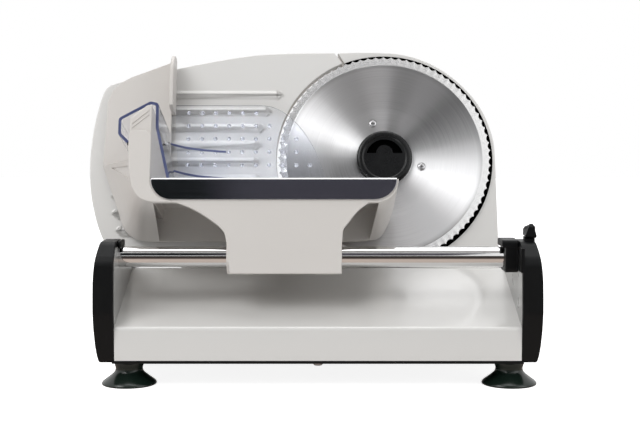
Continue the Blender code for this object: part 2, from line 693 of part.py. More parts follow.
def build_drive(look):
    """The blade, its gear and screws, the knob that holds it, and the two shafts of the reduction."""
    teeth = []
    for k in range(BLADE_TEETH):
        centre = 2 * math.pi * k / BLADE_TEETH
        step = 2 * math.pi / BLADE_TEETH
        for share, radius in ((0.0, BLADE_R), (0.5, BLADE_R - TOOTH_DEPTH)):
            teeth.append((radius, centre + share * step))
    bm = bmesh.new()
    coarse = teeth[::4]
    heights = [
        (BLADE_BORE, -DISH, coarse),
        (FLAT_R, -DISH, coarse),
        (BEVEL_R, 0.0, teeth),
        (None, -0.6, teeth),
        (None, -0.9, teeth),
        (BEVEL_R, -BLADE_T, teeth),
        (FLAT_R, -DISH - BLADE_T, coarse),
        (BLADE_BORE, -DISH - BLADE_T, coarse),
    ]
    rows = []
    for radius, height, around in heights:
        row = []
        for r, a in around:
            use = r if radius is None else radius
            row.append(bm.verts.new((use * math.cos(a), use * math.sin(a), height)))
        rows.append(row)
    for first, second in zip(rows, rows[1:] + rows[:1]):
        few, many = sorted((first, second), key=len)
        share = len(many) // len(few)
        for k in range(len(few)):
            m = (k + 1) % len(few)
            span = [many[(k * share + j) % len(many)] for j in range(share + 1)]
            if share == 1:
                bm.faces.new((few[k], few[m], span[1], span[0]))
                continue
            middle = share // 2
            for j in range(share):
                corner = few[k] if j < middle else few[m]
                bm.faces.new((corner, span[j + 1], span[j]))
            bm.faces.new((few[k], few[m], span[middle]))
    blade = emit("blade", bm, lean_matrix(), look["steel"])
    spots = [polar(SCREW_CIRCLE, 107.0), polar(SCREW_CIRCLE, -13.0), polar(SCREW_CIRCLE, 227.0)]
    for u, v in spots:
        hole = [(1.9, -DISH - 4), (1.9, -DISH - 1.2), (4.2, -DISH), (4.2, 3), (0, 3), (0, -DISH - 4)]
        cut(blade, lathe("hole", hole, lean_matrix(u, v), steps=20))

    outline = gear_outline(GEAR_TEETH, GEAR_MODULE)
    gear = prism("blade_gear", outline, GEAR_BACK, GEAR_FRONT - 1.5, lean_matrix(), look["nylon"])
    flange = [
        (SPINDLE_R + RUN, GEAR_BACK - 1.0),
        (14.3, GEAR_BACK - 1.0),
        (14.6, GEAR_FRONT - 3.0),
        (42.8, GEAR_FRONT - 2.6),
        (42.8, GEAR_FRONT),
        (BLADE_BORE - GAP, GEAR_FRONT),
        (BLADE_BORE - GAP, -DISH - 0.5),
        (SPINDLE_R + RUN, -DISH - 0.5),
    ]
    inner_bore = [(13.6, GEAR_BACK - 4), (13.6, GEAR_FRONT + 4), (0, GEAR_FRONT + 4), (0, GEAR_BACK - 4)]
    relief = [(17.0, GEAR_BACK - 4), (28.0, GEAR_BACK - 4), (28.0, GEAR_BACK + 0.7), (17.0, GEAR_BACK + 0.7)]
    cut(gear, lathe("bore", inner_bore, lean_matrix(), steps=36))
    hub = lathe("hub", flange, lean_matrix(), steps=48)
    add(gear, hub)
    cut(gear, lathe("relief", relief, lean_matrix(), steps=40))
    for u, v in spots:
        hole = [(1.6, GEAR_BACK - 4), (1.6, GEAR_FRONT + 3), (0, GEAR_FRONT + 3), (0, GEAR_BACK - 4)]
        cut(gear, lathe("hole", hole, lean_matrix(u, v), steps=16))
    for index, (u, v) in enumerate(spots):
        head = [
            (0, -DISH - 0.1),
            (3.6, -DISH - 0.1),
            (3.6, -DISH - 0.25),
            (1.3, -DISH - 1.5),
            (1.3, GEAR_FRONT - 9.0),
            (0, GEAR_FRONT - 9.0),
        ]
        body = lathe(f"blade_screw_{index + 1}", head, lean_matrix(u, v), look["zinc"], 14)
        for size in ((2.2, 0.4), (0.4, 2.2)):
            cut(body, box("slot", (-size[0], -size[1], -DISH - 0.7), (size[0], size[1], 2), lean_matrix(u, v)))

    knob_back = -DISH + GAP
    profile = [
        (0, knob_back - 1.6),
        (7.0, knob_back - 1.6),
        (7.0, knob_back),
        (KNOB_R, knob_back),
        (KNOB_R, 0.2),
        (KNOB_R - 1.6, 1.6),
        (20.4, 1.9),
        (19.2, 1.2),
        (18.4, 1.2),
        (18.4, 1.0),
        (0, 1.0),
    ]
    knob = lathe("lock_knob", profile, lean_matrix(), look["black"], 44)
    edge = 16.6 * math.sin(math.radians(14))
    upper = arc(0, 0, 16.6, 14, 166, 16) + list(reversed(arc(0, edge, 7.4, 0, 180, 12)))
    cut(knob, prism("recess", upper, -0.6, 6, lean_matrix()))

    idler_at = polar(GEAR_MODULE * (GEAR_TEETH + PINION_TEETH) / 2, IDLER_DEG)
    motor_at = polar(WHEEL_MODULE * (WHEEL_TEETH + MOTOR_TEETH) / 2, MOTOR_DEG, idler_at)
    # A tooth of one gear meets a gap of the other on the line between the two centres.
    pinion_phase = IDLER_DEG + 180 + phase_to_gap(GEAR_TEETH, IDLER_DEG, PINION_TEETH)
    pinion_line = gear_outline(PINION_TEETH, GEAR_MODULE, pinion_phase)
    frame = lean_matrix(*idler_at)
    idler = prism("idler_gear", pinion_line, CHASSIS_FRONT + 0.8, GEAR_FRONT - 3.4, frame, look["nylon"])
    wheel_line = gear_outline(WHEEL_TEETH, WHEEL_MODULE, 0.0)
    shaft = [
        (0, MOUNT_BACK - 2.0),
        (4.0, MOUNT_BACK - 2.0),
        (4.0, MOUNT_FRONT + 0.6),
        (8.0, MOUNT_FRONT + 0.6),
        (8.0, CHASSIS_BACK - 0.6),
        (6.0, CHASSIS_BACK - 0.6),
        (6.0, GEAR_FRONT - 4.0),
        (3.0, GEAR_FRONT - 1.2),
        (0, GEAR_FRONT - 1.2),
    ]
    add(idler, lathe("shaft", shaft, frame, steps=32))
    add(idler, prism("wheel", wheel_line, WHEEL_BACK, WHEEL_FRONT, frame))
    motor_phase = MOTOR_DEG + 180 + phase_to_gap(WHEEL_TEETH, MOTOR_DEG, MOTOR_TEETH)
    motor_line = gear_outline(MOTOR_TEETH, WHEEL_MODULE, motor_phase)
    frame = lean_matrix(*motor_at)
    rotor = prism("motor_pinion", motor_line, WHEEL_BACK - 0.5, WHEEL_FRONT + 0.4, frame, look["zinc"])
    shaft = [
        (0, MOUNT_BACK - 10),
        (3.0, MOUNT_BACK - 10),
        (3.0, WHEEL_FRONT + 0.8),
        (0, WHEEL_FRONT + 0.8),
    ]
    add(rotor, lathe("shaft", shaft, frame, steps=24))


def phase_to_gap(teeth, direction_deg, other_teeth):
    """How far to turn the other gear so that its gap faces this gear's tooth along the direction."""
    pitch = 360.0 / teeth
    here = direction_deg / pitch
    share = here - math.floor(here)
    other_pitch = 360.0 / other_teeth
    return (0.5 + share) * other_pitch


def plate_outline():
    """The thickness plate in the lean frame, anticlockwise from the bottom right."""
    start_v = PLATE_LOW + 1.0
    start_u = -math.sqrt(PLATE_ARC**2 - start_v**2)
    start = math.degrees(math.atan2(start_v, start_u))
    arc_points = arc(0, 0, PLATE_ARC, 360 + start, PLATE_END_DEG, 36)
    bottom = [(PLATE_LEFT + 31.2, PLATE_LOW), (start_u - 6.2, PLATE_LOW)]
    corner = [polar(PLATE_ARC + 12.47, PLATE_END_DEG + 1.47)]
    slope = [(183.2, 4.0), (146.4, 2.1), (113.2, -3.2), (78.3, -10.3), (41.2, -19.4)]
    top = [(PLATE_LEFT + u, BLADE_R + v) for u, v in slope]
    bow = [
        (16.2, BLADE_R - 26.4), (10.8, BLADE_R - 32.0), (6.2, 48.0), (2.4, 28.0), (0.2, 8.0), (0.0, -12.0),
        (1.8, -32.0), (5.6, -50.0), (10.6, -66.0), (16.8, PLATE_LOW + 4.0),
    ]
    left = [(PLATE_LEFT + u, v) for u, v in bow]
    return bottom + arc_points + corner + top + left


def build_thickness(look):
    """The ribbed thickness plate, its guide block and rods, and the dial with its spindle."""
    outline = plate_outline()
    low = PLATE_FACE - 10.0
    plate = prism("thickness_plate", outline, low, PLATE_FACE, lean_matrix(), look["paint"])
    cut(plate, prism("inside", offset(outline, 2.2), low - 5, PLATE_FACE - PLATE_T, lean_matrix()))
    bosses = []
    bores = []
    for u, v, outer, bore, back in (
        (GUIDE_U - GUIDE_SPREAD, GUIDE_V, 8.0, GUIDE_R + RUN, -36.0),
        (GUIDE_U + GUIDE_SPREAD, GUIDE_V, 8.0, GUIDE_R + RUN, -36.0),
        (GUIDE_U, DIAL_V, 10.0, 5.0 + RUN, -34.0),
    ):
        solid = [(outer, back), (outer, PLATE_FACE - 1.2), (0, PLATE_FACE - 1.2), (0, back)]
        bosses.append(lathe("boss", solid, lean_matrix(u, v), steps=24))
        hollow = [(bore, back - 4.0), (bore, PLATE_FACE - 4.4), (0, PLATE_FACE - 4.4), (0, back - 4.0)]
        bores.append(lathe("bore", hollow, lean_matrix(u, v), steps=24))
    add(plate, together(bosses), True)
    cut(plate, together(bores), True)
    pitch = 15.7
    for k in range(-4, 5):
        v = pitch * k - 3.9
        right = -math.sqrt(max(PLATE_ARC**2 - v**2, 0)) - 15.0
        left = PLATE_LEFT + 17.2 + abs(v + 5) * 0.09
        if v > 50:
            left = PLATE_LEFT + 27.2
        if v < -60:
            left = PLATE_LEFT + 25.2
        rib = rounded([(left, v - 3.4), (right, v - 3.4), (right, v + 3.4), (left, v + 3.4)], 3.2, 3)
        add(plate, prism("rib", rib, PLATE_FACE - 0.5, PLATE_FACE + PLATE_RIB, lean_matrix()), True)

    block = prism(
        "guide_block",
        rounded([(GUIDE_U - 32, -130), (GUIDE_U + 32, -130), (GUIDE_U + 32, 10), (GUIDE_U + 20, 24), (GUIDE_U - 20, 24), (GUIDE_U - 32, 10)], [0, 0, 8, 10, 10, 8], 4),
        BLOCK_BACK,
        BLOCK_FRONT,
        lean_matrix(),
        look["paint"],
    )
    keep(block, box("above", (-300, -200, SHELF_Z + GAP), (300, 300, 400), world_matrix()))
    cut(block, box("hollow", (GUIDE_U - 28, -130, BLOCK_BACK + 4), (GUIDE_U + 28, -42, BLOCK_FRONT - 4), lean_matrix()))
    for u, v, r in ((GUIDE_U - GUIDE_SPREAD, GUIDE_V, GUIDE_R + GAP), (GUIDE_U + GUIDE_SPREAD, GUIDE_V, GUIDE_R + GAP), (GUIDE_U, DIAL_V, 5.0 + GAP)):
        bore = [(r, -100.0), (r, -30.0), (0, -30.0), (0, -100.0)]
        cut(block, lathe("bore", bore, lean_matrix(u, v), steps=20))
    for side, u in (("left", GUIDE_U - GUIDE_SPREAD), ("right", GUIDE_U + GUIDE_SPREAD)):
        rod = [(0, BLOCK_BACK), (GUIDE_R, BLOCK_BACK), (GUIDE_R, -22.6), (GUIDE_R - 0.6, -22.0), (0, -22.0)]
        lathe(f"guide_rod_{side}", rod, lean_matrix(u, GUIDE_V), look["chrome"], 20)
    dial_back = BLOCK_BACK - 16.0
    spindle = [(0, dial_back + 3), (4.99, dial_back + 3), (4.99, -22.6), (4.4, -22.0), (0, -22.0)]
    dial = [
        (6.5, BLOCK_BACK - 0.5),
        (DIAL_R, BLOCK_BACK - 0.5),
        (DIAL_R, BLOCK_BACK - 4.0),
        (DIAL_R - 4.5, BLOCK_BACK - 5.0),
        (DIAL_R - 5.0, dial_back + 1.0),
        (DIAL_R - 6.0, dial_back),
        (0, dial_back),
        (0, BLOCK_BACK - 2.0),
        (6.5, BLOCK_BACK - 2.0),
    ]
    knob = lathe("thickness_dial", dial, lean_matrix(GUIDE_U, DIAL_V), look["black"], 32)
    add(knob, lathe("spindle", spindle, lean_matrix(GUIDE_U, DIAL_V), steps=20))
    grip = box("grip", (-2.4, -13.5, dial_back - 4.0), (2.4, 13.5, dial_back + 0.7), lean_matrix(GUIDE_U, DIAL_V))
    add(knob, grip)


REAR_LINE = [
    (7.7, -45.8), (4.6, -56.0), (1.5, -63.6), (-3.2, -71.6), (-9.0, -75.6), (-37.4, -77.7), (-196.5, -77.7),
    (-213.0, -77.0), (-222.0, -73.6), (-229.8, -66.1), (-236.0, -49.0), (-241.5, -34.0), (-250.8, -8.5),
    (-205.0, -8.5), (-205.0, -45.8),
]
FRONT_LINE = [
    (6.0, -45.8), (5.2, -51.0), (2.6, -57.0), (-3.0, -62.4), (-10.0, -64.8), (-37.4, -65.0), (-188.0, -65.0),
    (-195.0, -64.6), (-201.5, -62.4), (-206.0, -58.4), (-209.4, -52.0), (-211.4, -42.0), (-212.6, -30.0),
    (-205.0, -30.0), (-205.0, -45.8),
]
REAR_HOLLOW = [
    (4.6, -48.0), (2.0, -55.4), (-1.0, -62.4), (-5.0, -69.4), (-9.8, -73.0), (-37.4, -75.0), (-196.5, -75.0),
    (-212.4, -74.3), (-220.2, -71.6), (-227.4, -64.8), (-233.2, -49.0), (-233.0, -48.0),
]
FRONT_HOLLOW = [
    (3.0, -48.0), (2.4, -51.0), (0.2, -55.4), (-4.4, -60.0), (-10.6, -62.2), (-37.4, -62.4), (-188.0, -62.4),
    (-194.4, -62.0), (-200.0, -60.0), (-204.0, -56.8), (-206.8, -51.0), (-207.4, -48.0),
]
REAR_LEDGE_HOLLOW = [(-200.0, -52.0), (-234.2, -50.0), (-239.0, -34.5), (-247.0, -11.6), (-200.0, -11.6)]
FRONT_LEDGE_HOLLOW = [(-200.0, -52.0), (-206.4, -50.0), (-208.6, -42.0), (-209.6, -33.6), (-200.0, -33.6)]


def across_matrix():
    """A frame in the lean frame for profiles seen from its right: x is v, y is n and z is u."""
    axes = Matrix(((0, 0, 1, 0), (1, 0, 0, 0), (0, 1, 0, 0), (0, 0, 0, 1)))
    return lean_matrix() @ axes


def plan_matrix():
    """A frame in the lean frame for profiles seen along the blade: x is n, y is u and z is v."""
    axes = Matrix(((0, 1, 0, 0), (0, 0, 1, 0), (1, 0, 0, 0), (0, 0, 0, 1)))
    return lean_matrix() @ axes


def across(name, points, low, high, look=None):
    """A profile given as (n, v) along u."""
    return prism(name, [(v, n) for n, v in points], low, high, across_matrix(), look)


def plan(name, points, low, high, look=None):
    """A profile given as (u, n) along v."""
    return prism(name, [(n, u) for u, n in points], low, high, plan_matrix(), look)


def build_carriage(look):
    """The carriage, its tray, bushes and glide."""
    frame = lean_matrix()
    body = prism("carriage", FRONT_LINE, CARRIAGE_FRONT, CARRIAGE_BACK, frame, look["plastic"], REAR_LINE)
    hollow_front = CARRIAGE_FRONT - WALL
    hollow_back = CARRIAGE_BACK + WALL
    cut(body, prism("hollow", FRONT_HOLLOW, hollow_front, hollow_back, frame, None, REAR_HOLLOW))
    cut(body, prism("ledge", FRONT_LEDGE_HOLLOW, hollow_front - 0.5, hollow_back + 0.1, frame, None, REAR_LEDGE_HOLLOW))
    opening_front = [(-192.0, -55.0), (-192.0, -90.0), (-10.0, -90.0), (-10.0, -55.0)]
    opening_rear = [(-198.0, -55.0), (-198.0, -90.0), (-14.0, -90.0), (-14.0, -55.0)]
    cut(body, prism("opening", opening_front, hollow_front - 0.2, hollow_back + 0.2, frame, None, opening_rear))
    window = [(34.0, -18.6), (97.0, -33.2), (97.0, -48.6)]
    cut(body, across("window", window, -260.0, -208.0))

    wall = rounded([(-212.9, -60.5), (-195.2, -60.5), (-195.2, 18.0), (-199.5, 17.0), (-212.9, 6.0)], [0, 0, 1.5, 1.5, 2], 3)
    end = prism("end", wall, CARRIAGE_BACK + 0.2, CARRIAGE_FRONT - 2.0, frame)
    # The lip follows the front of the body round the corner of the tray.
    inner_corner = rounded([(-177.0, -63.8), (-194.9, -63.8), (-194.9, -45.9)], [0, 17.9, 0], 8)[1:-1]
    lip = [(-177.0, -65.0), (-177.0, -63.8)] + inner_corner + [
        (-194.9, -8.7), (-198.9, -4.7), (-210.1, -4.7), (-213.1, -7.7), (-212.6, -30.0), (-211.4, -42.0),
        (-209.4, -52.0), (-206.0, -58.4), (-201.5, -62.4), (-195.0, -64.6), (-188.0, -65.0),
    ]
    add(end, prism("lip", lip, CARRIAGE_FRONT - 3.4, CARRIAGE_FRONT + 0.9, frame))
    add(body, end)
    inner_wall = [(-210.1, -63.0), (-197.9, -63.0), (-197.9, 13.4), (-210.1, 3.4)]
    cut(body, prism("hollow", inner_wall, CARRIAGE_BACK + 3.3, CARRIAGE_FRONT - 4.2, frame))

    guard = [
        (-232.0, -59.0), (-190.4, -59.0), (-190.4, 87.7), (-227.9, 73.2), (-236.5, 68.2), (-244.0, 61.0),
        (-248.0, 50.0), (-248.4, 34.0), (-250.2, -7.0), (-246.5, -18.0),
    ]
    guard.pop(0)
    guard = [(-206.0, -50.0)] + guard[:0] + [(-190.4, -50.0)] + guard[1:-1] + [(-246.8, -14.0), (-206.0, -14.0)]
    plate = prism("guard", rounded(guard, [0, 0, 2, 2, 3, 3, 3, 3, 1, 0, 0], 3), CARRIAGE_BACK + 0.1, CARRIAGE_BACK + 3.1, frame)
    add(body, plate)
    flange = [(CARRIAGE_BACK + 0.3, 38.0), (CARRIAGE_BACK + 0.3, 92.6), (10.0, 95.2), (20.0, 93.0), (29.0, 84.0), (30.0, 40.0), (26.0, 38.0)]
    add(body, across("flange", flange, -191.0, -187.8))

    skirt = [
        (-175.6, -57.0), (-175.6, -64.4), (-160.0, -70.6), (-146.4, -79.0), (-135.6, -88.0), (-132.8, -95.4),
        (-129.8, -123.6), (-40.4, -123.6), (-39.2, -88.6), (-34.6, -81.6), (-26.4, -71.4), (-16.8, -64.4), (-16.8, -57.0),
    ]
    add(body, prism("skirt", skirt, CARRIAGE_FRONT - 2.9, CARRIAGE_FRONT + 0.1, frame))
    # The web behind each end of the skirt reaches from the platform down to the hub round the rail.
    for low, high in (HUB_LEFT, HUB_RIGHT):
        u0, u1 = low - BLADE_X, high - BLADE_X
        web = [(CARRIAGE_FRONT - 1.2, -46.6), (58.0, -46.6), (74.0, -96.0), (76.4, -112.0), (CARRIAGE_FRONT - 1.2, -116.0)]
        add(body, across("web", web, u0 + 1.0, u0 + 5.0))
        add(body, across("web", web, u1 - 5.0, u1 - 1.0))
        hub = [(BUSH_R + 3.2, 0), (BUSH_R + 3.2, high - low), (0, high - low), (0, 0)]
        add(body, lathe("hub", hub, side_matrix(low, RAIL_Y, RAIL_Z), steps=40))
    for low, high in (HUB_LEFT, HUB_RIGHT):
        bore = [(BUSH_R + GAP, -3), (BUSH_R + GAP, high - low + 3), (0, high - low + 3), (0, -3)]
        cut(body, lathe("bore", bore, side_matrix(low, RAIL_Y, RAIL_Z), steps=40))
    # The shoe that carries the back of the carriage stands under a pad in its rear wall.
    add(body, box("pad", (-138.0, -80.0, CARRIAGE_BACK + 0.4), (-98.0, -62.0, CARRIAGE_BACK + 12.4), frame))
    tray_line = rounded([(-194.0, -62.9), (4.4, -62.9), (4.4, TRAY_TOP), (-194.0, TRAY_TOP)], [17, 17, 0.5, 0.5], 8)
    tray_face = CARRIAGE_FRONT + 0.1 + GAP
    tray = prism("food_tray", tray_line, tray_face, tray_face + SHEET, frame, look["chrome"])
    top = box("top", (-193.9, TRAY_TOP - SHEET, CARRIAGE_BACK + 3.6), (4.3, TRAY_TOP - 0.05, tray_face + 0.4), frame)
    add(tray, top)
    cut(tray, box("end", (-230.0, -100.0, -10.0), (-194.6, 0.0, 99.0), frame))

    for side, (low, high) in (("left", HUB_LEFT), ("right", HUB_RIGHT)):
        bush = [(RAIL_R + RUN, 0), (BUSH_R, 0), (BUSH_R, high - low), (RAIL_R + RUN, high - low)]
        lathe(f"carriage_bush_{side}", bush, side_matrix(low, RAIL_Y, RAIL_Z), look["nylon"], 28)

    shoe_low = (SHELF_Z + GAP - BLADE_Z) / math.cos(LEAN) - (CARRIAGE_BACK + 6.0) * math.tan(LEAN)
    shoe_top = -80.0 - GAP
    shoe = [
        (CARRIAGE_BACK + 1.0, shoe_top),
        (CARRIAGE_BACK + 1.0, shoe_low + 2.6),
        (CARRIAGE_BACK + 6.0, shoe_low + 0.8),
        (CARRIAGE_BACK + 11.0, shoe_low + 3.0),
        (CARRIAGE_BACK + 11.0, shoe_top),
    ]
    across("carriage_shoe", rounded(shoe, [0.5, 2, 3, 2, 0.5], 3), -136.0, -100.0, look["nylon"])


def build_pusher(look):
    """The clear food pusher: a spiked face, a saddle over the end wall and two gussets."""
    frame = lean_matrix()
    floor = TRAY_TOP + 0.8
    back = PUSHER_BACK
    face_line = [(-180.6, floor), (-46.4, floor), (-50.0, -28.0), (-55.0, -14.0), (-61.0, 2.0), (-68.0, 15.0), (-76.0, 26.5), (-84.0, 34.5), (-92.0, 40.5), (-101.0, 44.4), (-110.0, 45.7), (-186.0, 45.7), (-186.0, 20.0), (-184.0, 0.0)]
    body = prism("pusher", face_line, back, back + PUSHER_T, frame, look["clear"])
    outer = [(-180.0, floor), (-182.4, floor), (-192.6, 0.0), (-193.0, 19.2), (-197.2, 20.2), (-221.0, 7.0), (-221.0, -4.6), (-214.2, -11.4), (-216.0, -13.2), (-223.4, -5.6), (-223.4, 8.4), (-197.6, 22.8), (-190.6, 21.2), (-190.2, 0.2)]
    saddle = prism("saddle", outer, back, SADDLE_FRONT, frame)
    # The hook under the saddle starts where the ledge beside the wall has dropped away.
    cut(saddle, prism("step", [(-240.0, -20.0), (-213.2, -20.0), (-213.2, -4.0), (-240.0, -4.0)], -5.0, 40.0, frame))
    add(body, saddle)
    upper = [(-191.4, back + 1.0), (-134.0, back + 1.0), (-150.0, back + 9.0), (-166.0, back + 22.0), (-178.0, back + 42.0), (-191.0, back + 64.0)]
    add(body, plan("gusset", upper, 10.0, 12.0))
    lower = [(-182.8, back + 1.0), (-134.0, back + 1.0), (-150.0, back + 9.0), (-164.0, back + 22.0), (-174.0, back + 42.0), (-182.4, back + 64.0)]
    add(body, plan("gusset", lower, -38.0, -36.0))
    return spikes(body, frame, back)


def spikes(body, frame, back):
    """Small pyramids on the side of the pusher that grips the food."""
    bm = bmesh.new()
    for row in range(5):
        for column in range(10):
            u = -174.6 + 12.0 * column
            v = 38.8 - 12.0 * row
            limit = {0: -104.0, 1: -92.0, 2: -78.0, 3: -70.0, 4: -62.0}[row]
            if u > limit:
                continue
            ring = []
            for dx, dy in ((-1.5, -1.5), (1.5, -1.5), (1.5, 1.5), (-1.5, 1.5)):
                ring.append(bm.verts.new((u + dx, v + dy, back + 0.6)))
            tip = bm.verts.new((u, v, back - 2.2))
            bm.faces.new(ring)
            for k in range(4):
                bm.faces.new((ring[k], tip, ring[(k + 1) % 4]))
    return add(body, emit("spikes", bm, frame, None))


def build_lever(look):
    """The thumb lever on the right end cap that frees the rail, its ear and its pin."""
    x0, y0, z0 = CAP_INNER + 1.2, -92.0, CAP_TOP + 3.0 + GAP
    barrel = arc(0, 0, 3.0, 200, 420, 10)
    tab = [(-3.4, 4.6), (-5.6, 9.4), (-8.6, 10.4), (-10.6, 8.4), (-10.0, -1.4), (-7.4, -2.6)]
    lever = prism("rail_lock_lever", barrel + tab, 0.0, 9.2, side_matrix(x0, y0, z0), look["black"])
    hole = [(1.5 + GAP, -3), (1.5 + GAP, 14), (0, 14), (0, -3)]
    cut(lever, lathe("hole", hole, side_matrix(x0, y0, z0), steps=16))
    slot = [(-4.2, -6.0), (6.0, -6.0), (6.0, 4.4), (-4.2, 4.4)]
    cut(lever, prism("slot", slot, 3.0, 5.8, side_matrix(x0, y0, z0)))
    ear = rounded([(-2.9, -6.0), (2.9, -6.0), (2.9, 3.0), (-2.9, 3.0)], [0, 0, 2.4, 2.4], 4)
    cap = bpy.data.objects["end_cap_right"]
    piece = prism("ear", ear, 3.3, 5.5, side_matrix(x0, y0, z0))
    cut(piece, lathe("hole", hole, side_matrix(x0, y0, z0), steps=16))
    add(cap, piece)
    pin = [(0, 0.2), (1.5, 0.2), (1.5, 9.0), (0, 9.0)]
    lathe("lever_pin", pin, side_matrix(x0, y0, z0), look["zinc"], 14)


def group(name, frame, pieces):
    """Parents the named pieces to an empty on their joint axis."""
    axis = empty(name, frame)
    for piece in pieces:
        child(bpy.data.objects[piece], axis)


def settle():
    """Moves everything so that the world origin is under the middle of the whole machine."""
    bpy.context.view_layer.update()
    points = [obj.matrix_world @ v.co for obj in bpy.data.objects if obj.type == "MESH" for v in obj.data.vertices]
    low = Vector([min(p[i] for p in points) for i in range(3)])
    high = Vector([max(p[i] for p in points) for i in range(3)])
    move = Vector((-(low.x + high.x) / 2, -(low.y + high.y) / 2, -low.z))
    for obj in bpy.data.objects:
        if obj.parent is None:
            obj.location = obj.location + move
    print("moved by mm", [round(value / MM, 4) for value in move])


def main():
    """Builds every piece and groups the moving ones under empties on their joint axes."""
    clear()
    look = looks()
    build_base(look)
    build_housing(look)
    build_drive(look)
    build_thickness(look)
    build_carriage(look)
    build_pusher(look)
    build_lever(look)
    blade_set = ["blade", "blade_gear", "blade_screw_1", "blade_screw_2", "blade_screw_3", "lock_knob"]
    group("blade_axis", lean_matrix(), blade_set)
    carriage_set = ["carriage", "food_tray", "carriage_bush_left", "carriage_bush_right", "carriage_shoe", "pusher"]
    group("carriage_axis", world_matrix(0, RAIL_Y, RAIL_Z), carriage_set)
    settle()


main()
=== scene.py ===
"""Looks for the electric food slicer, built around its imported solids.

Each sub-assembly is a dataclass that holds its sizes in millimetres and builds its pieces with
Blender's own operators. Leaning pieces are drawn in the lean frame: x to the right, y up along the
blade and z out of the blade towards the user.
"""

from __future__ import annotations

import json
import logging
import math
from dataclasses import dataclass, field
from enum import Enum
from typing import Callable, Iterable, Sequence

import bmesh
import bpy
from mathutils import Matrix, Vector

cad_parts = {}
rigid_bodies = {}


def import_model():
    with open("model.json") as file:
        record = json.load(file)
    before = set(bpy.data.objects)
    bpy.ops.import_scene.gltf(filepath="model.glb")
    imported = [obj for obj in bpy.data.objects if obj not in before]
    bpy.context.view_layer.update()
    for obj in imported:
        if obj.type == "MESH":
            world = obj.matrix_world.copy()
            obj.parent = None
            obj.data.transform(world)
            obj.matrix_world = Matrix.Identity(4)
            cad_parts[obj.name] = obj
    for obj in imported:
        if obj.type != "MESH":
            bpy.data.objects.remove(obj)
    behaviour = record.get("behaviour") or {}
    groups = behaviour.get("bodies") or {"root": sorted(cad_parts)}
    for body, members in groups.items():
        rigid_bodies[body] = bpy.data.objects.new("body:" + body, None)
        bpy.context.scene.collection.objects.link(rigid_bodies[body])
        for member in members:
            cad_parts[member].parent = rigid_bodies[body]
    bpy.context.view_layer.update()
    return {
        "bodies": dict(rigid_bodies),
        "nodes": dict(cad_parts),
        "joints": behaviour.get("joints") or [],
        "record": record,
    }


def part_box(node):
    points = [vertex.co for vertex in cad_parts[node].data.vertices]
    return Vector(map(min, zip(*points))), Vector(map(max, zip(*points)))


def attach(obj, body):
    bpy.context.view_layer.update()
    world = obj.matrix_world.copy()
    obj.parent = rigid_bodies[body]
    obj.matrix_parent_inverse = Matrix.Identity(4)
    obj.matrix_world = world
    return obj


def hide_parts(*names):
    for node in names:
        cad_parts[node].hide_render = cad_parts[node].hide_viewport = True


log = logging.getLogger("slicer")

MM = 0.001
WELD = 2e-6
LEVEL = 1e-3
STRAIGHT = math.radians(176)
CORNER_SHARE = 0.45
LEAST_MITRE = 0.35
LEAN = math.radians(16.7)
BLADE_CENTRE = (59.2, 30.0, 178.0)
RAIL_Y = -86.0
RAIL_Z = 101.0
CORD_HOLE = (-110.0, 124.0, 48.0)

Point = tuple[float, float]
Colour = tuple[float, float, float]
Piece = bpy.types.Object
Socket = bpy.types.NodeSocket
FaceTest = Callable[[Vector, Vector], bool]


def polar(radius: float, degrees: float) -> Point:
    """A point at a radius and an angle from the origin."""
    turn = math.radians(degrees)
    return (radius * math.cos(turn), radius * math.sin(turn))


def arc(radius: float, start: float, stop: float, steps: int) -> list[Point]:
    """Points on an arc round the origin, angles in degrees."""
    return [polar(radius, start + (stop - start) * k / steps) for k in range(steps + 1)]


def rounded(points: Sequence[Point], radius: float | Sequence[float], steps: int = 6) -> list[Point]:
    """An outline whose corners are rounded.

    Args:
        points: The corners in order.
        radius: One radius for all corners, or one for each.
        steps: How many faces each corner gets.

    Returns:
        The outline with its corners replaced by short curves.
    """
    made: list[Point] = []
    count = len(points)
    for i, corner in enumerate(points):
        r = radius[i] if isinstance(radius, (list, tuple)) else radius
        here = Vector(corner)
        before = Vector(points[i - 1]) - here
        after = Vector(points[(i + 1) % count]) - here
        if r <= 0 or before.angle(after) > STRAIGHT:
            made.append((here.x, here.y))
            continue
        longest = CORNER_SHARE * min(before.length, after.length)
        reach = min(r / math.tan(before.angle(after) / 2), longest)
        start = here + before.normalized() * reach
        end = here + after.normalized() * reach
        for k in range(steps + 1):
            t = k / steps
            spot = start * (1 - t) ** 2 + here * 2 * t * (1 - t) + end * t**2
            made.append((spot.x, spot.y))
    return made


def flow(points: Sequence[Point], corners: Iterable[int], steps: int = 4) -> list[Point]:
    """A closed outline drawn as a smooth curve through its points, with some of them kept sharp.

    Args:
        points: The points in order.
        corners: The indices of the points that stay sharp.
        steps: How many edges stand between two neighbouring points.

    Returns:
        The finer outline. Two outlines with the same count and corners stay paired.
    """
    sharp = set(corners)
    count = len(points)
    spots = [Vector(p) for p in points]

    def heading(i: int, along: Vector) -> Vector:
        """The way the curve runs at a point."""
        return (along if i in sharp else spots[(i + 1) % count] - spots[i - 1]).normalized()

    made: list[Point] = []
    for i in range(count):
        j = (i + 1) % count
        along = spots[j] - spots[i]
        first = heading(i, along) * along.length
        second = heading(j, along) * along.length
        for k in range(steps):
            t = k / steps
            near = spots[i] * (2 * t**3 - 3 * t**2 + 1) + first * (t**3 - 2 * t**2 + t)
            spot = near + spots[j] * (3 * t**2 - 2 * t**3) + second * (t**3 - t**2)
            made.append((spot.x, spot.y))
    return made


